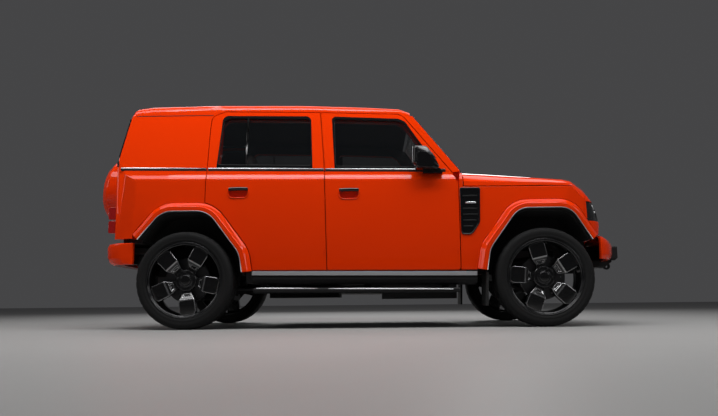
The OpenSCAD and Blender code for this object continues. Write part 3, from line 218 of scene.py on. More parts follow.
slots = {s["node"]: s["material_slot"] for s in frame["record"]["subparts"]}
for name, obj in frame["nodes"].items():
    obj.data.materials.clear()
    obj.data.materials.append(NODE_MATERIAL.get(name, SLOT_MATERIAL[slots[name]]))
    if name == "flares":
        second_material(obj, DEEP, in_arch)
    if name in INSIDE:
        inward = INSIDE[name]
        second_material(obj, TRIM, lambda p: inward(p.normal, 1 if p.center.y > 0 else -1) > FACES_IN
                        and abs(p.center.y) < LINED_Y)
    dress(obj, GLASS_EDGE if slots[name] == "glass" else PANEL_EDGE)


# ---- builders for added pieces
def mesh_object(name, verts, faces, mat, body, smooth=True, lift=LIFT):
    """Mesh with one material, riding on a body of the frame."""
    me = bpy.data.meshes.new(name)
    me.from_pydata([(v[0], v[1], v[2] + lift) for v in verts], [], faces)
    me.update()
    o = bpy.data.objects.new(name, me)
    scene.collection.objects.link(o)
    me.materials.append(mat)
    for p in me.polygons:
        p.use_smooth = smooth
    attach(o, body)
    return o


def facing(faces, s):
    """Faces as they are wound where s is negative, turned over where it is positive."""
    return faces if s < 0 else [f[::-1] for f in faces]


def wall(n, low=0, high=None):
    """Quads between two rings of n points, which start at low and high."""
    high = low + n if high is None else high
    return [(low + k, low + (k + 1) % n, high + (k + 1) % n, high + k) for k in range(n)]


def tube(name, pts, mat, body, a, b, closed=False, sides=8, up=(0, 1, 0)):
    """Bar of elliptical section along a line: a lies across `up`, b along it."""
    pts = [Vector(p) for p in pts]
    n = len(pts)
    verts, faces = [], []
    upv = Vector(up).normalized()
    for i, p in enumerate(pts):
        q = pts[(i + 1) % n] if closed or i < n - 1 else p
        o = pts[i - 1] if closed or i > 0 else p
        t = (q - o).normalized()
        side = t.cross(upv).normalized()
        top = side.cross(t).normalized()
        for k in range(sides):
            ang = 2 * math.pi * k / sides
            verts.append(p + side * (a * math.cos(ang)) + top * (b * math.sin(ang)))
    for i in range(n if closed else n - 1):
        faces += wall(sides, i * sides, (i + 1) % n * sides)
    if not closed:
        faces.append(tuple(range(sides)))
        faces.append(tuple((n - 1) * sides + k for k in reversed(range(sides))))
    return mesh_object(name, verts, faces, mat, body)


def round_path(pts, closed=True, steps=6):
    """Outline of points [x, z, corner radius], with arcs at the corners."""
    out = []
    n = len(pts)
    for i, (x, z, r) in enumerate(pts):
        b = Vector((x, z))
        if not r or (not closed and i in (0, n - 1)):
            out.append(b)
            continue
        u = (Vector(pts[i - 1][:2]) - b).normalized()
        v = (Vector(pts[(i + 1) % n][:2]) - b).normalized()
        half = u.angle(v) / 2
        c = b + (u + v).normalized() * (r / math.sin(half))
        p, q = b + u * (r / math.tan(half)), b + v * (r / math.tan(half))
        a0 = math.atan2(p.y - c.y, p.x - c.x)
        d = (math.atan2(q.y - c.y, q.x - c.x) - a0 + math.pi) % (2 * math.pi) - math.pi
        angles = [a0 + d * k / steps for k in range(steps + 1)]
        out += [c + r * Vector((math.cos(a), math.sin(a))) for a in angles]
    return out


def upper_y(x, z):
    """Half width of the leaning upper side."""
    return BELT_Y - (z + (x - SHIFT) * RAKE - BELT_Z) * TUMBLE


def on_upper(s, pts, off):
    """Points [x, z] laid on the upper side, off metres outside it."""
    return [(x, s * (upper_y(x, z) + off), z) for x, z in pts]


def on_plane(s, pts, y):
    """Points [x, z] laid on an upright plane at half width y."""
    return [(x, s * y, z) for x, z in pts]


def seen(node, origin, direction):
    """Place and normal where a line first meets a CAD node, or None."""
    ok, p, nrm, _ = frame["nodes"][node].ray_cast(Vector(origin) + Vector((0, 0, LIFT)), Vector(direction))
    return (p - Vector((0, 0, LIFT)), nrm) if ok else None


def reach(path, c, a):
    """Point where a line from c at angle a leaves an outline."""
    d, far = Vector((math.cos(a), math.sin(a))), 0.0
    for p, q in zip(path, path[1:] + path[:1]):
        e, w = q - p, p - c
        den = d.x * e.y - d.y * e.x
        if abs(den) > 1e-9 and -1e-6 <= (w.x * d.y - w.y * d.x) / den <= 1 + 1e-6:
            far = max(far, (w.x * e.y - w.y * e.x) / den)
    return c + d * far


def border(name, outer, inner, s, mat, body, off=0.0016, deep=0.003, lap=0.004):
    """Flat ring on the upper side, from one outline to a lap inside another."""
    c = sum(inner, Vector((0, 0))) / len(inner)
    turns = sorted({round(math.atan2(p.y - c.y, p.x - c.x), 5) for p in outer + inner})
    verts, faces, n = [], [], len(turns)
    for a in turns:
        o, i = reach(outer, c, a), reach(inner, c, a)
        i = i + (c - i).normalized() * lap
        for q, d in ((o, off), (i, off), (i, -deep), (o, -deep)):
            verts += on_upper(s, [q], d)
    for k in range(n):
        faces += wall(4, 4 * k, 4 * ((k + 1) % n))
    return mesh_object(name, verts, facing(faces, s), mat, body, smooth=False)


NOSE_X, NOSE_CURVE = F(130), 0.75
TAIL_X, TAIL_CURVE = R(-330), 0.9


def draw_in(x):
    """How far the flares draw in towards nose and tail."""
    if x > NOSE_X:
        return NOSE_CURVE * (x - NOSE_X) ** 2
    if x < TAIL_X:
        return TAIL_CURVE * (x - TAIL_X) ** 2
    return 0.0


def bevelled(o, width, angle=None):
    """Rounds the edges of a piece: all of them, or those sharper than an angle."""
    b = o.modifiers.new("edge", "BEVEL")
    b.width = width
    b.segments = 3
    if angle:
        b.limit_method = "ANGLE"
        b.angle_limit = math.radians(angle)
    o.modifiers.new("normals", "WEIGHTED_NORMAL")
    return o


def block(name, lo, hi, mat, body, bevel):
    """Box between two corners, with rounded edges."""
    v = [(x, y, z) for x in (lo[0], hi[0]) for y in (lo[1], hi[1]) for z in (lo[2], hi[2])]
    f = [(0, 1, 3, 2), (4, 6, 7, 5), (0, 4, 5, 1), (2, 3, 7, 6), (0, 2, 6, 4), (1, 5, 7, 3)]
    return bevelled(mesh_object(name, v, f, mat, body), bevel)


# ---- trim on both sides: outlines are [x, z, corner radius]
FRONT_WINDOW = [(F(-1752), 1.371, .025), (F(-858), 1.349, .02), (F(-1140), 1.778, .045), (F(-1200), 1.802, .045),
                (F(-1770), 1.828, .03)]
REAR_WINDOW = [(R(236), 1.398, .025), (F(-1952), 1.379, .025), (F(-1972), 1.832, .045), (R(330), 1.849, .06),
               (R(268), 1.822, .04)]
FRONT_BORDER = [(F(-1757), 1.350, .012), (F(-850), 1.334, .012), (F(-1135), 1.790, .045), (F(-1195), 1.820, .045),
                (F(-1787), 1.850, .035)]
REAR_BORDER = [(R(234), 1.367, .012), (F(-1948), 1.353, .012), (F(-1972), 1.855, .05), (R(263), 1.871, .05)]
FRONT_ARCH = [(F(-482), .460, 0), (F(-452), .640, .19), (F(-205), .978, .17), (F(232), .978, .17),
              (F(420), .712, 0)]
REAR_ARCH = [(R(-405), .745, 0), (R(-200), .982, .19), (R(190), .982, .2), (R(462), .620, .22), (R(486), .460, 0)]
OUTLET = [(F(-684), 1.158, .012), (F(-682), .768, .02), (F(-600), .762, .05), (F(-531), .862, .075),
          (F(-522), 1.156, .012)]
MIRROR_HEAD = [(F(-1086), 1.352, .025), (F(-1082), 1.522, .03), (F(-968), 1.514, .05), (F(-884), 1.402, .04),
               (F(-900), 1.348, .02)]
MIRROR_X, MIRROR_Z = F(-985), 1.432
MIRROR_RINGS = ((.916, .86), (.930, .97), (.955, 1.0), (1.010, 1.0), (1.036, .95), (1.047, .82))  # y, scale
ROOF_JOINT = [(x, 1.877) for x in (R(-520), R(-200), R(172))]
DIVIDER = [(R(488), z) for z in (1.40, 1.6, 1.84)]
RIB_ZS, BAR_Z = (1.09, .98, .93, .88, .83), 1.032
HANDLE_LONG, HANDLE_UP, POCKET_UP = 0.170, 0.078, 0.052


def waist(nm, xs, s, side, body):
    """Bright strip along the waist, over a dark gap."""
    zs = [BELT_Z - (x - SHIFT) * WAIST_FALL for x in xs]
    tube(f"waist_{nm}_{side}", [(x, s * (upper_y(x, z) + 0.003), z + 0.013) for x, z in zip(xs, zs)], BRIGHT, body,
         0.006, 0.004)
    tube(f"waist_gap_{nm}_{side}", [(x, s * (upper_y(x, z) + 0.001), z - 0.002) for x, z in zip(xs, zs)], DEEP,
         body, 0.009, 0.003)


def handle(nm, x0, z0, s, side, body):
    """Pull handle over its pocket, and the pocket's rounded lip."""
    y = s * (HALF_W - 0.010)
    tube(f"handle_{nm}_{side}",
         [(x0 + t * HANDLE_LONG, y + s * 0.014 * math.sin(math.pi * t) - s * 0.004, z0 + HANDLE_UP)
          for t in (0.02, .15, .3, .5, .7, .85, .98)], GLOSS_BLACK, body, 0.016, 0.010)
    x1, z1 = x0 + HANDLE_LONG, z0 + POCKET_UP
    lip = round_path([(x0, z1, 0), (x0, z0, .04), (x1, z0, .04), (x1, z1, 0)], closed=False)
    tube(f"pocket_lip_{nm}_{side}", on_plane(s, lip, HALF_W - 0.0005), PAINT, body, 0.0045, 0.0035)


def hinge_skin(nm, x, edge, s, side, body):
    """Thin plates that carry the door's skin over its hinge slots."""
    ends = (-HINGE_HALF, HINGE_HALF)
    for k, z in enumerate(HINGE_ZS):
        got = [seen(f"door_{nm}_{side}", (x - 0.035, s * 3, z + d), (0, -s, 0)) for d in ends]
        if all(got):
            v = [(xx, s * (abs(g[0].y) + d), z + e) for g, e in zip(got, ends)
                 for xx in (x - 0.0168, edge(z) - 0.0008) for d in (0.0001, -0.003)]
            f = [(0, 4, 6, 2), (1, 3, 7, 5), (0, 1, 5, 4), (2, 6, 7, 3), (0, 2, 3, 1), (4, 5, 7, 6)]
            mesh_object(f"hinge_skin_{nm}_{side}_{k}", v, facing(f, s), PAINT, body, smooth=False)


def wing_outlet(s, side):
    """Rounded gloss face with ribs and a bright bar."""
    path = round_path(OUTLET)
    n, y = len(path), HALF_W + 0.0022
    mesh_object(f"outlet_face_{side}", on_plane(s, path, y) + on_plane(s, path, y - .008),
                [tuple(range(n)), tuple(reversed(range(n, 2 * n)))] + wall(n), GLOSS_BLACK, "body", smooth=False)
    tube(f"outlet_edge_{side}", on_plane(s, path, y), GLOSS_BLACK, "body", 0.006, 0.005, closed=True)
    for k, z in enumerate(RIB_ZS):
        ends = [(F(-668), z), (F(-545) - max(0, .9 - z) * .6, z)]
        tube(f"outlet_rib_{side}_{k}", on_plane(s, ends, y), BLACK, "body", 0.007, 0.004)
    tube(f"vent_bar_{side}", on_plane(s, [(F(-648), BAR_Z), (F(-556), BAR_Z)], y + .003), BRIGHT, "body",
         0.009, 0.004)


def mirror(s, side, body):
    """Full head over the CAD one, and its glass."""
    path = round_path(MIRROR_HEAD)
    n, last = len(path), len(MIRROR_RINGS) - 1
    verts, faces = [], []
    for r, (y, scale) in enumerate(MIRROR_RINGS):
        verts += on_plane(s, [(MIRROR_X + (q.x - MIRROR_X) * scale, MIRROR_Z + (q.y - MIRROR_Z) * scale)
                              for q in path], y)
        if r < last:
            faces += wall(n, r * n)
    faces += [tuple(reversed(range(n))), tuple(last * n + k for k in range(n))]
    mesh_object(f"mirror_head_{side}", verts, facing(faces, s), GLOSS_BLACK, body)
    y0, y1 = sorted((s * .935, s * 1.03))
    block(f"mirror_face_{side}", (F(-1089), y0, 1.37), (F(-1082), y1, 1.505), MIRROR, body, 0.003)


for s, side in SIDES:
    fd, rd = "front_door_" + side, "rear_door_" + side
    for nm, window, edge, body in (("front", FRONT_WINDOW, FRONT_BORDER, fd),
                                   ("rear", REAR_WINDOW, REAR_BORDER, rd)):
        path = round_path(window)
        border(f"glass_border_{nm}_{side}", round_path(edge), path, s, GLOSS_BLACK, body)
        tube(f"seal_{nm}_{side}", on_upper(s, path, -0.006), BLACK, body, 0.008, 0.005, closed=True)
    # joint between the roof and the rear quarter
    tube(f"roof_joint_{side}", on_upper(s, ROOF_JOINT, -0.0005), DEEP, "body", 0.004, 0.0025)
    waist("front_door", (F(-1838), F(-1300), F(-800)), s, side, fd)
    waist("rear_door", (R(165), R(600), F(-1850)), s, side, rd)
    waist("quarter", (R(-600), R(-200), R(150)), s, side, "body")
    # bright lip on the flares
    for nm, arch in (("front", FRONT_ARCH), ("rear", REAR_ARCH)):
        path = round_path(arch, closed=False, steps=10)
        tube(f"arch_lip_{nm}_{side}",
             [(p.x, s * (HALF_W + FLARE_OUT - 0.002 - draw_in(p.x)), p.y + 0.001) for p in path],
             SILVER, "body", 0.004, 0.004)
    handle("front", F(-1717), 1.078, s, side, fd)
    handle("rear", R(354), 1.097, s, side, rd)
    hinge_skin("front", F(-719), lambda z: F(-699), s, side, fd)
    hinge_skin("rear", F(-1846.5), lambda z: F(-1826.5) - (z - .45) * .0176, s, side, rd)
    # divider bar in the rear door glass
    tube(f"divider_{side}", on_upper(s, DIVIDER, -0.007), GLOSS_BLACK, rd, 0.010, 0.005)
    wing_outlet(s, side)
    mirror(s, side, fd)


# ---- tyres with tread
TYRE_HALF, TYRE_STEPS, BLOCK_STEPS = 0.141, 216, 6
# half a section, from bead to crown: [radius, offset]
TYRE_PROFILE = [(RIM_R + .0005, -.131), (RIM_R + .012, -.139), (RIM_R + .02, -.1405), (RIM_R + .026, -.1385),
                (RIM_R + .032, -.1405), (RIM_R + .05, -.141), (RIM_R + .064, -.139), (TYRE_R - .016, -.131),
                (TYRE_R - .008, -.122), (TYRE_R - .003, -.110), (TYRE_R - .001, -.096), (TYRE_R - .001, -.082),
                (TYRE_R - .009, -.079), (TYRE_R - .009, -.071), (TYRE_R, -.068), (TYRE_R, -.034),
                (TYRE_R - .009, -.031), (TYRE_R - .009, -.023), (TYRE_R, -.020), (TYRE_R, 0)]
SHOULDER, SHOULDER_END, RIB, MIDDLE_RIB = 7, 11, 14, 18  # where tread zones start or end in it


def tread_cut(m, i):
    """Depth of the cross cuts at row m of the section and step i around the tyre."""
    if SHOULDER <= m <= SHOULDER_END and i % BLOCK_STEPS < 1:
        return 0.003
    if m >= RIB and (i + (3 if m >= MIDDLE_RIB else 0)) % BLOCK_STEPS < 1:
        return 0.004
    return 0.0


def tread_tyre(name, x, s, body, node):
    """Tyre with grooves around it and cuts across its ribs and shoulders."""
    prof = TYRE_PROFILE + [(r, -h) for r, h in reversed(TYRE_PROFILE[:-1])]
    n = len(prof)
    verts, faces = [], []
    for i in range(TYRE_STEPS):
        for k, (r, h) in enumerate(prof):
            m = min(k, n - 1 - k)
            rr = r - tread_cut(m, i)
            a = 2 * math.pi * i / TYRE_STEPS + (0.012 * (h / TYRE_HALF) if m >= SHOULDER else 0.0)
            verts.append((x + rr * math.cos(a), s * (WHEEL_Y + h), TYRE_R + rr * math.sin(a)))
    for i in range(TYRE_STEPS):
        j = (i + 1) % TYRE_STEPS
        for k in range(n - 1):
            faces.append((i * n + k, i * n + k + 1, j * n + k + 1, j * n + k))
    o = mesh_object(name, verts, facing(faces, -s), TYRE, body, lift=0)
    es = o.modifiers.new("split", "EDGE_SPLIT")
    es.split_angle = math.radians(38)
    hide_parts(node)


for s, side in SIDES:
    for end, x in (("front", F(0)), ("rear", R(0))):
        tread_tyre(f"tread_{end}_{side}", x, s, f"wheel_{end}_{side}", f"tyre_{end}_{side}")

# ---- wheels: barrel, hub cap and nuts, and five block spokes with slotted inner facets; in millimetres
SPOKES, NUT_CIRCLE, NUT_R, NUT_LOW, NUT_TOP = 5, 70, 11, 66, 84
BARREL = [(321.8, -132), (321.8, -120), (307, -114), (301, -50), (293, 10), (303, 70), (307, 112), (321.8, 118),
          (321.8, 131), (318, 134), (311, 134), (307, 128), (303, 120), (296, 116), (288, 64), (281, 10),
          (289, -50), (295, -112), (310, -132)]
HUB = [(0.5, 88), (34, 88), (42, 85), (45, 79), (47, 75), (54, 75), (58, 73), (84, 73), (91, 67), (92, 60),
       (92, 18), (30.5, 18)]
# spokes: [distance from the axle, half width, height of the top]
ARM, ARM_LOW = [(56, 42, 62), (150, 35, 62), (291, 52, 56)], 24
PAD, PAD_LOW = [(108, 38, 70), (166, 67, 110), (266, 71, 110), (292, 52, 107)], 44
SLOT, SLOT_DEEP = [(118, 22), (136, 30), (136, -30), (118, -22)], 14


def wheel_face(name, cx, s, turn, body, node):
    """Wheel in two meshes, so that the bevels of the spoke pads get a bright grey, painted highlights along their
    edges.
    """
    frame_mesh, pads_mesh = ([], []), ([], [])

    def put(points, polys, rot=0.0, into=frame_mesh):
        verts, faces = into
        base = len(verts)
        c, n = math.cos(rot), math.sin(rot)
        for lx, ly, lz in points:
            gx, gy = lx * c - ly * n, lx * n + ly * c
            verts.append((cx + gx / 1000, s * (WHEEL_Y + lz / 1000), TYRE_R - gy / 1000))
        for p in polys:
            q = tuple(base + i for i in p)
            faces.append(q if s > 0 else q[::-1])

    def turn_up(profile, steps, close=False):
        n = len(profile)
        angles = [2 * math.pi * i / steps for i in range(steps)]
        polys = []
        for i in range(steps):
            j = (i + 1) % steps
            for k in range(n if close else n - 1):
                m = (k + 1) % n
                polys.append((i * n + k, j * n + k, j * n + m, i * n + m))
        put([(r * math.cos(a), r * math.sin(a), h) for a in angles for r, h in profile], polys)

    def both_halves(rows):
        return rows + [(x, -y, z) for x, y, z in reversed(rows)]

    turn_up(BARREL, 96, close=True)
    turn_up(HUB, 60)
    (foot_x, _, foot_z), (knee_x, _, knee_z) = PAD[:2]
    slot_top = [(x, y, foot_z + (x - foot_x) * (knee_z - foot_z) / (knee_x - foot_x)) for x, y in SLOT]
    slot_floor = [(x, y, z - SLOT_DEEP) for x, y, z in slot_top]
    nut = [(math.cos(math.pi / 3 * k) * NUT_R + NUT_CIRCLE, math.sin(math.pi / 3 * k) * NUT_R) for k in range(6)]
    for i in range(SPOKES):
        rot = math.radians(-90 - turn + 360 / SPOKES * i)
        top = both_halves(ARM)
        n = len(top)
        put([(x, y, ARM_LOW) for x, y, _ in top] + top,
            [tuple(range(n))[::-1], (n, n + 1, n + 4, n + 5), (n + 1, n + 2, n + 3, n + 4)] + wall(n), rot)
        top = both_halves(PAD)
        put([(x, y, PAD_LOW) for x, y, _ in top] + top + slot_top + slot_floor,
            [tuple(range(8))[::-1]] + wall(8) + [(9, 10, 13, 14), (10, 11, 12, 13)]
            + [(8, 9, 17, 16), (9, 14, 18, 17), (14, 15, 19, 18), (15, 8, 16, 19)]
            + wall(4, 16) + [(20, 21, 22, 23)], rot, pads_mesh)
        put([(x, y, NUT_LOW) for x, y in nut] + [(x, y, NUT_TOP) for x, y in nut],
            [tuple(range(6, 12))] + wall(6), rot + math.radians(180 / SPOKES))
    # the bevels take a lighter colour than the black rim: painted highlights, faint on the frame and bright on the
    # pads
    for tag, (verts, faces), width, edge in (("", frame_mesh, 0.0055, FRAME_EDGE_SHEEN),
                                             ("_pads", pads_mesh, 0.008, PAD_EDGE_GLINT)):
        o = bevelled(mesh_object(name + tag, verts, faces, RIM, body, lift=0), width, 24)
        o.data.materials.append(edge)
        o.modifiers["edge"].material = 1
        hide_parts(node)


for s, side in SIDES:
    for end, x, turn in (("front", F(0), 13), ("rear", R(0), -29)):
        wheel_face(f"wheel_face_{end}_{side}", x, s, turn, f"wheel_{end}_{side}", f"rim_{end}_{side}")

# ---- seats: crowned cushions with sewn channels, on dark plinths
CUSHION_STEPS, GROOVE_DEEP, GROOVE_SHARP, GROOVE_END = 22, 0.006, 12, 0.86
BACK_LEAN = math.atan2(180, 570)
SEAT_Z, FLOOR_Z = 0.700, 0.4195


def cushion(name, size, at, lean, node, channels=5, crown=0.018, round_to=0.045):
    """Padded block: size along X, Y, Z, leaning back about Y, with channels sewn into its wide face."""
    n = CUSHION_STEPS
    verts, faces, index = [], [], {}
    thin = 0 if size[0] < size[2] else 2

    def shape(*uvw):
        p = [t * h / 2 for t, h in zip(uvw, size)]
        core = [max(-h / 2 + round_to, min(h / 2 - round_to, c)) for c, h in zip(p, size)]
        d = Vector([a - b for a, b in zip(p, core)])
        if d.length > 1e-9:
            d = d.normalized() * round_to
        q = [a + b for a, b in zip(core, d)]
        flat = [uvw[k] for k in range(3) if k != thin]
        swell = crown * (1 - flat[0] ** 2) * (1 - flat[1] ** 2)
        across = uvw[1]
        groove = GROOVE_DEEP * max(0.0, math.cos(across * math.pi * channels)) ** GROOVE_SHARP
        if abs(across) >= GROOVE_END:
            groove = 0
        q[thin] += (1 if uvw[thin] > 0 else -1) * abs(uvw[thin]) * (swell - groove - crown * 0.4)
        return q

    grid = [-1 + 2 * i / n for i in range(n + 1)]
    co, si = math.cos(lean), math.sin(lean)
    for axis in range(3):
        for sgn in (-1, 1):
            a, b = [k for k in range(3) if k != axis]
            ids = {}
            for i, gi in enumerate(grid):
                for j, gj in enumerate(grid):
                    uvw = [0, 0, 0]
                    uvw[axis], uvw[a], uvw[b] = sgn, gi, gj
                    key = tuple(round(t, 5) for t in uvw)
                    if key not in index:
                        x, y, z = shape(*uvw)
                        index[key] = len(verts)
                        verts.append((at[0] + x * co - z * si, at[1] + y, at[2] + x * si + z * co))
                    ids[i, j] = index[key]
            for i in range(n):
                for j in range(n):
                    f = (ids[i, j], ids[i + 1, j], ids[i + 1, j + 1], ids[i, j + 1])
                    faces.append(f if (sgn > 0) == (axis != 1) else f[::-1])
    o = mesh_object(name, verts, faces, SEAT, "body")
    sub = o.modifiers.new("smooth", "SUBSURF")
    sub.levels = sub.render_levels = 1
    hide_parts(node)


def seat_row(tag, x, y, width, node, heads):
    """Cushion, back, head restraints on posts, and a plinth."""
    h = SEAT_Z
    cushion(f"{tag}_cushion", (0.56, width, 0.15), (x + 0.265, y, h + 0.075), -0.06, node)
    cushion(f"{tag}_back", (0.13, width - 0.02, 0.60), (x - 0.045, y, h + 0.385), BACK_LEAN, node)
    for k, hy in enumerate(heads):
        cushion(f"{tag}_head_{k}", (0.085, 0.27, 0.155), (x - 0.136, hy, h + 0.785), 0.12, node, channels=1,
                crown=0.010, round_to=0.035)
        for letter, d in (("a", -0.06), ("b", 0.06)):
            tube(f"{tag}_post_{k}_{letter}", [(x - 0.122, hy + d, h + 0.62), (x - 0.134, hy + d, h + 0.74)],
                 BRIGHT, "body", 0.007, 0.007)
    half = width / 2 - 0.03
    base = block(f"{tag}_base", (x + 0.07, y - half, FLOOR_Z), (x + 0.47, y + half, h + 0.012), BLACK, "body", 0.012)
    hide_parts(node)


for s, side in SIDES:
    seat_row(f"seat_{side}", F(-1700), s * 0.38, 0.50, "front_seats", [s * 0.38])
seat_row("bench", R(600), 0.0, 1.26, "rear_bench", [-0.42, 0.0, 0.42])

# ---- lamps and small fittings, placed where a line meets the CAD surface; profiles are [radius, height]
BEZEL = [(.080, -.012), (.080, .003), (.076, .006), (.070, .005), (.066, -.004), (.040, -.010)]
RING = [(.070, .002), (.070, .006), (.063, .007), (.062, .001)]
EYE = [(.042, -.010), (.042, .000), (.036, .005), (.024, .010), (.0005, .013)]
GLINT = [(.014, -.006), (.014, .002), (.011, .004), (.0005, .005)]
CELL = [(.017, -.008), (.017, .003), (.014, .005), (.011, .002), (.0005, .004)]
TAIL_RING = [(.029, -.006), (.029, .003), (.025, .005), (.021, .003), (.018, -.003)]
TAIL_EYE = [(.019, -.006), (.018, .002), (.010, .005), (.0005, .006)]
DRUM = [(.20, -.370), (.20, -.330), (.284, -.327), (.314, -.275), (.314, -.075), (.308, -.055), (.254, -.005),
        (.242, 0), (.202, -.001), (.194, -.008), (.0005, -.006)]
AHEAD, BEHIND, ASIDE = 4, -4, 3  # where the lines start, clear of the body
LAMP_Y, LAMP_Z = 0.690, 0.956
GLINTS = ((F(478), 1.012), (F(502), .962), (F(520), .912))  # x, z
CELL_YS, CELL_ZS = (0.575, 0.612), (0.908, 0.956, 1.004)
TAIL_Y, TAIL_ZS = 0.8375, (0.866, 0.984)
STEP_EDGES, STEP_Z, STEP_FALL = ((-0.900, -0.383), (-0.297, 0.740)), 0.314, 0.0122
CORNER_ZS, CORNER_IN, CORNER_OUT = (1.40, 1.5, 1.6, 1.7, 1.8, 1.85), 0.016, 0.006
SPARE_AT, SPARE_LEAN = (R(-1012), 0, 1.326), math.radians(7)
WIPERS, WIPER_Z, WIPER_RISE, WIPER_OFF = ((0.10, 0.66), (-0.60, -0.04)), 1.42, 0.05, 0.008  # y from, y to


def turned_at(name, profile, mat, body, p, nrm, steps=40):
    """Turns a profile about the surface normal at p."""
    zax = Vector(nrm).normalized()
    xax = zax.orthogonal().normalized()
    yax = zax.cross(xax)
    n = len(profile)
    angles = [2 * math.pi * i / steps for i in range(steps)]
    verts = [Vector(p) + xax * (r * math.cos(a)) + yax * (r * math.sin(a)) + zax * h
             for a in angles for r, h in profile]
    faces = [(i * n + k, ((i + 1) % steps) * n + k, ((i + 1) % steps) * n + k + 1, i * n + k + 1)
             for i in range(steps) for k in range(n - 1)]
    return mesh_object(name, verts, faces, mat, body)


for s, side in SIDES:
    got = seen("headlamps", (AHEAD, s * LAMP_Y, LAMP_Z), (-1, 0, 0))
    if got:
        turned_at(f"lamp_bezel_{side}", BEZEL, GLOSS_BLACK, "body", *got)
        turned_at(f"lamp_ring_{side}", RING, LIT_LENS_AND_GLINT, "body", *got)
        turned_at(f"lamp_eye_{side}", EYE, LENS, "body", *got)
    # three small white glowing discs on the lamp's side: painted highlights
    for k, (x, z) in enumerate(GLINTS):
        got = seen("headlamps", (x, s * ASIDE, z), (0, -s, 0))
        if got:
            turned_at(f"lamp_glint_{side}_{k}", GLINT, LIT_LENS_AND_GLINT, "body", *got, steps=10)
    for k, y in enumerate(CELL_YS):
        for j, z in enumerate(CELL_ZS):
            got = seen("headlamps", (AHEAD, s * y, z), (-1, 0, 0))
            if got:
                turned_at(f"lamp_cell_{side}_{k}{j}", CELL, LIT_LENS_AND_GLINT if k else LENS, "body", *got, steps=6)
    for k, z in enumerate(TAIL_ZS):
        got = seen("tail_lamps", (BEHIND, s * TAIL_Y, z), (1, 0, 0))
        if got:
            turned_at(f"tail_ring_{side}_{k}0", TAIL_RING, BRIGHT, "body", *got, steps=28)
            turned_at(f"tail_eye_{side}_{k}0", TAIL_EYE, RED_LENS, "body", *got, steps=28)

# bright edges on the side steps
for s, side in SIDES:
    for k, (x0, x1) in enumerate(STEP_EDGES):
        edge = []
        for t in (0, .5, 1):
            x = x0 + (x1 - x0) * t
            edge.append(seen("side_steps", (SHIFT + x, s * ASIDE, STEP_Z - x * STEP_FALL), (0, -s, 0)))
        if all(edge):
            tube(f"step_edge_{side}_{k}", [p for p, _ in edge], BRIGHT, "body", 0.006, 0.004)

# black strips down the rear corners, above the waist
for s, side in SIDES:
    edge = [seen("body_sides", (BEHIND, s * (upper_y(R(-600), z) - CORNER_IN), z), (1, 0, 0)) for z in CORNER_ZS]
    if all(edge):
        tube(f"corner_strip_{side}", [p + Vector((-CORNER_OUT, 0, 0)) for p, _ in edge], GLOSS_BLACK, "body",
             0.012, 0.012, up=(1, 0, 0))

# spare wheel cover: chamfered drum that leans with the gate
spare = turned_at("spare_drum", DRUM, PAINT, "tailgate", SPARE_AT,
                  (-math.cos(SPARE_LEAN), 0, math.sin(SPARE_LEAN)), steps=96)
bevelled(spare, 0.006, 20)
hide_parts("spare_cover")

# wipers on the screen
for k, (y0, y1) in enumerate(WIPERS):
    line = [seen("windscreen", (AHEAD, y0 + (y1 - y0) * t, WIPER_Z + WIPER_RISE * t), (-1, 0, 0))
            for t in (0, .25, .5, .75, 1)]
    if all(line):
        tube(f"wiper_blade_{k}", [p + n * WIPER_OFF for p, n in line], BLACK, "body", 0.006, 0.008, up=(0, 0, 1))


# ---- studio: pale floor, grey world and soft lights
def area(name, loc, rot, size, power):
    """Soft light: place, turn in degrees, width and depth in metres, watts."""
    d = bpy.data.lights.new(name, "AREA")
    d.shape = "RECTANGLE"
    d.size, d.size_y = size
    d.energy = power
    o = bpy.data.objects.new(name, d)
    o.location = loc
    o.rotation_euler = [math.radians(v) for v in rot]
    scene.collection.objects.link(o)


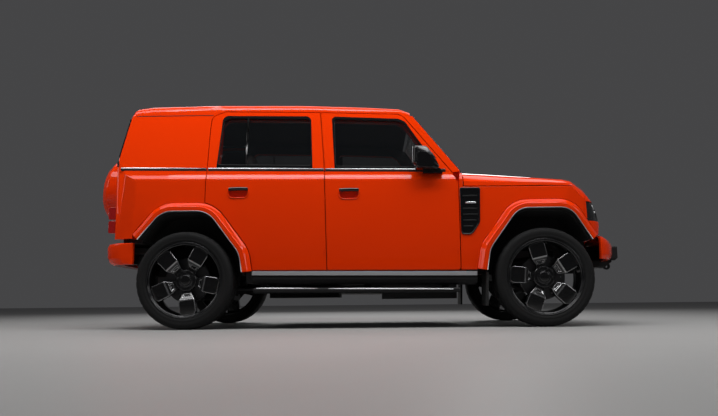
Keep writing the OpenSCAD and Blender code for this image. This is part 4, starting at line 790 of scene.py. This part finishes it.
FLOOR_HALF = 30
floor_mat = material("pale_floor", (0.34, 0.338, 0.334), rough=0.5, vary=0.03, scale=3)
me = bpy.data.meshes.new("floor")
me.from_pydata([(x * FLOOR_HALF, y * FLOOR_HALF, 0) for x, y in ((-1, -1), (1, -1), (1, 1), (-1, 1))], [],
               [(0, 1, 2, 3)])
floor = bpy.data.objects.new("floor", me)
me.materials.append(floor_mat)
scene.collection.objects.link(floor)

world = bpy.data.worlds.new("studio")
scene.world = world
world.use_nodes = True
bg = world.node_tree.nodes["Background"]
bg.inputs["Color"].default_value = (0.060, 0.060, 0.062, 1)
bg.inputs["Strength"].default_value = 1.0

area("ceiling", (0, -2.0, 4.4), (0, 0, 0), (8.5, 1.5), 190)
area("top", (0, 1.4, 4.6), (0, 0, 0), (8, 2.0), 90)
area("key", (0.3, -3.6, 6.2), (30, 0, 0), (7, 1.0), 150)
area("front_fill", (6.5, -3.2, 3.2), (62, 0, 58), (3, 2), 50)
area("rear_fill", (-6.5, -2.4, 3.2), (62, 0, -62), (3, 2), 40)
area("far_fill", (0, 6.5, 4.0), (-60, 0, 0), (7, 2), 160)

# ---- camera at the photograph's place, as fitted to its wheels
YAW, PITCH, ROLL = (math.radians(v) for v in (-1.13, 7.87, -0.54))
CAMERA_AT = (0.075 + SHIFT, -6.609, 0.215 + LIFT)
FOCAL_PX, PHOTO_W, SENSOR = 671.3, 718, 36
fwd = Vector((math.sin(YAW) * math.cos(PITCH), math.cos(YAW) * math.cos(PITCH), math.sin(PITCH)))
level = Vector((math.cos(YAW), -math.sin(YAW), 0))
upright = level.cross(fwd)
right = level * math.cos(ROLL) + upright * math.sin(ROLL)
up = upright * math.cos(ROLL) - level * math.sin(ROLL)
cam_data = bpy.data.cameras.new("photo_view")
cam_data.sensor_width = SENSOR
cam_data.lens = FOCAL_PX / PHOTO_W * SENSOR
cam = bpy.data.objects.new("photo_view", cam_data)
cam.matrix_world = Matrix.Translation(CAMERA_AT) @ Matrix((right, up, -fwd)).transposed().to_4x4()
scene.collection.objects.link(cam)
scene.camera = cam
scene.view_settings.view_transform = "Standard"
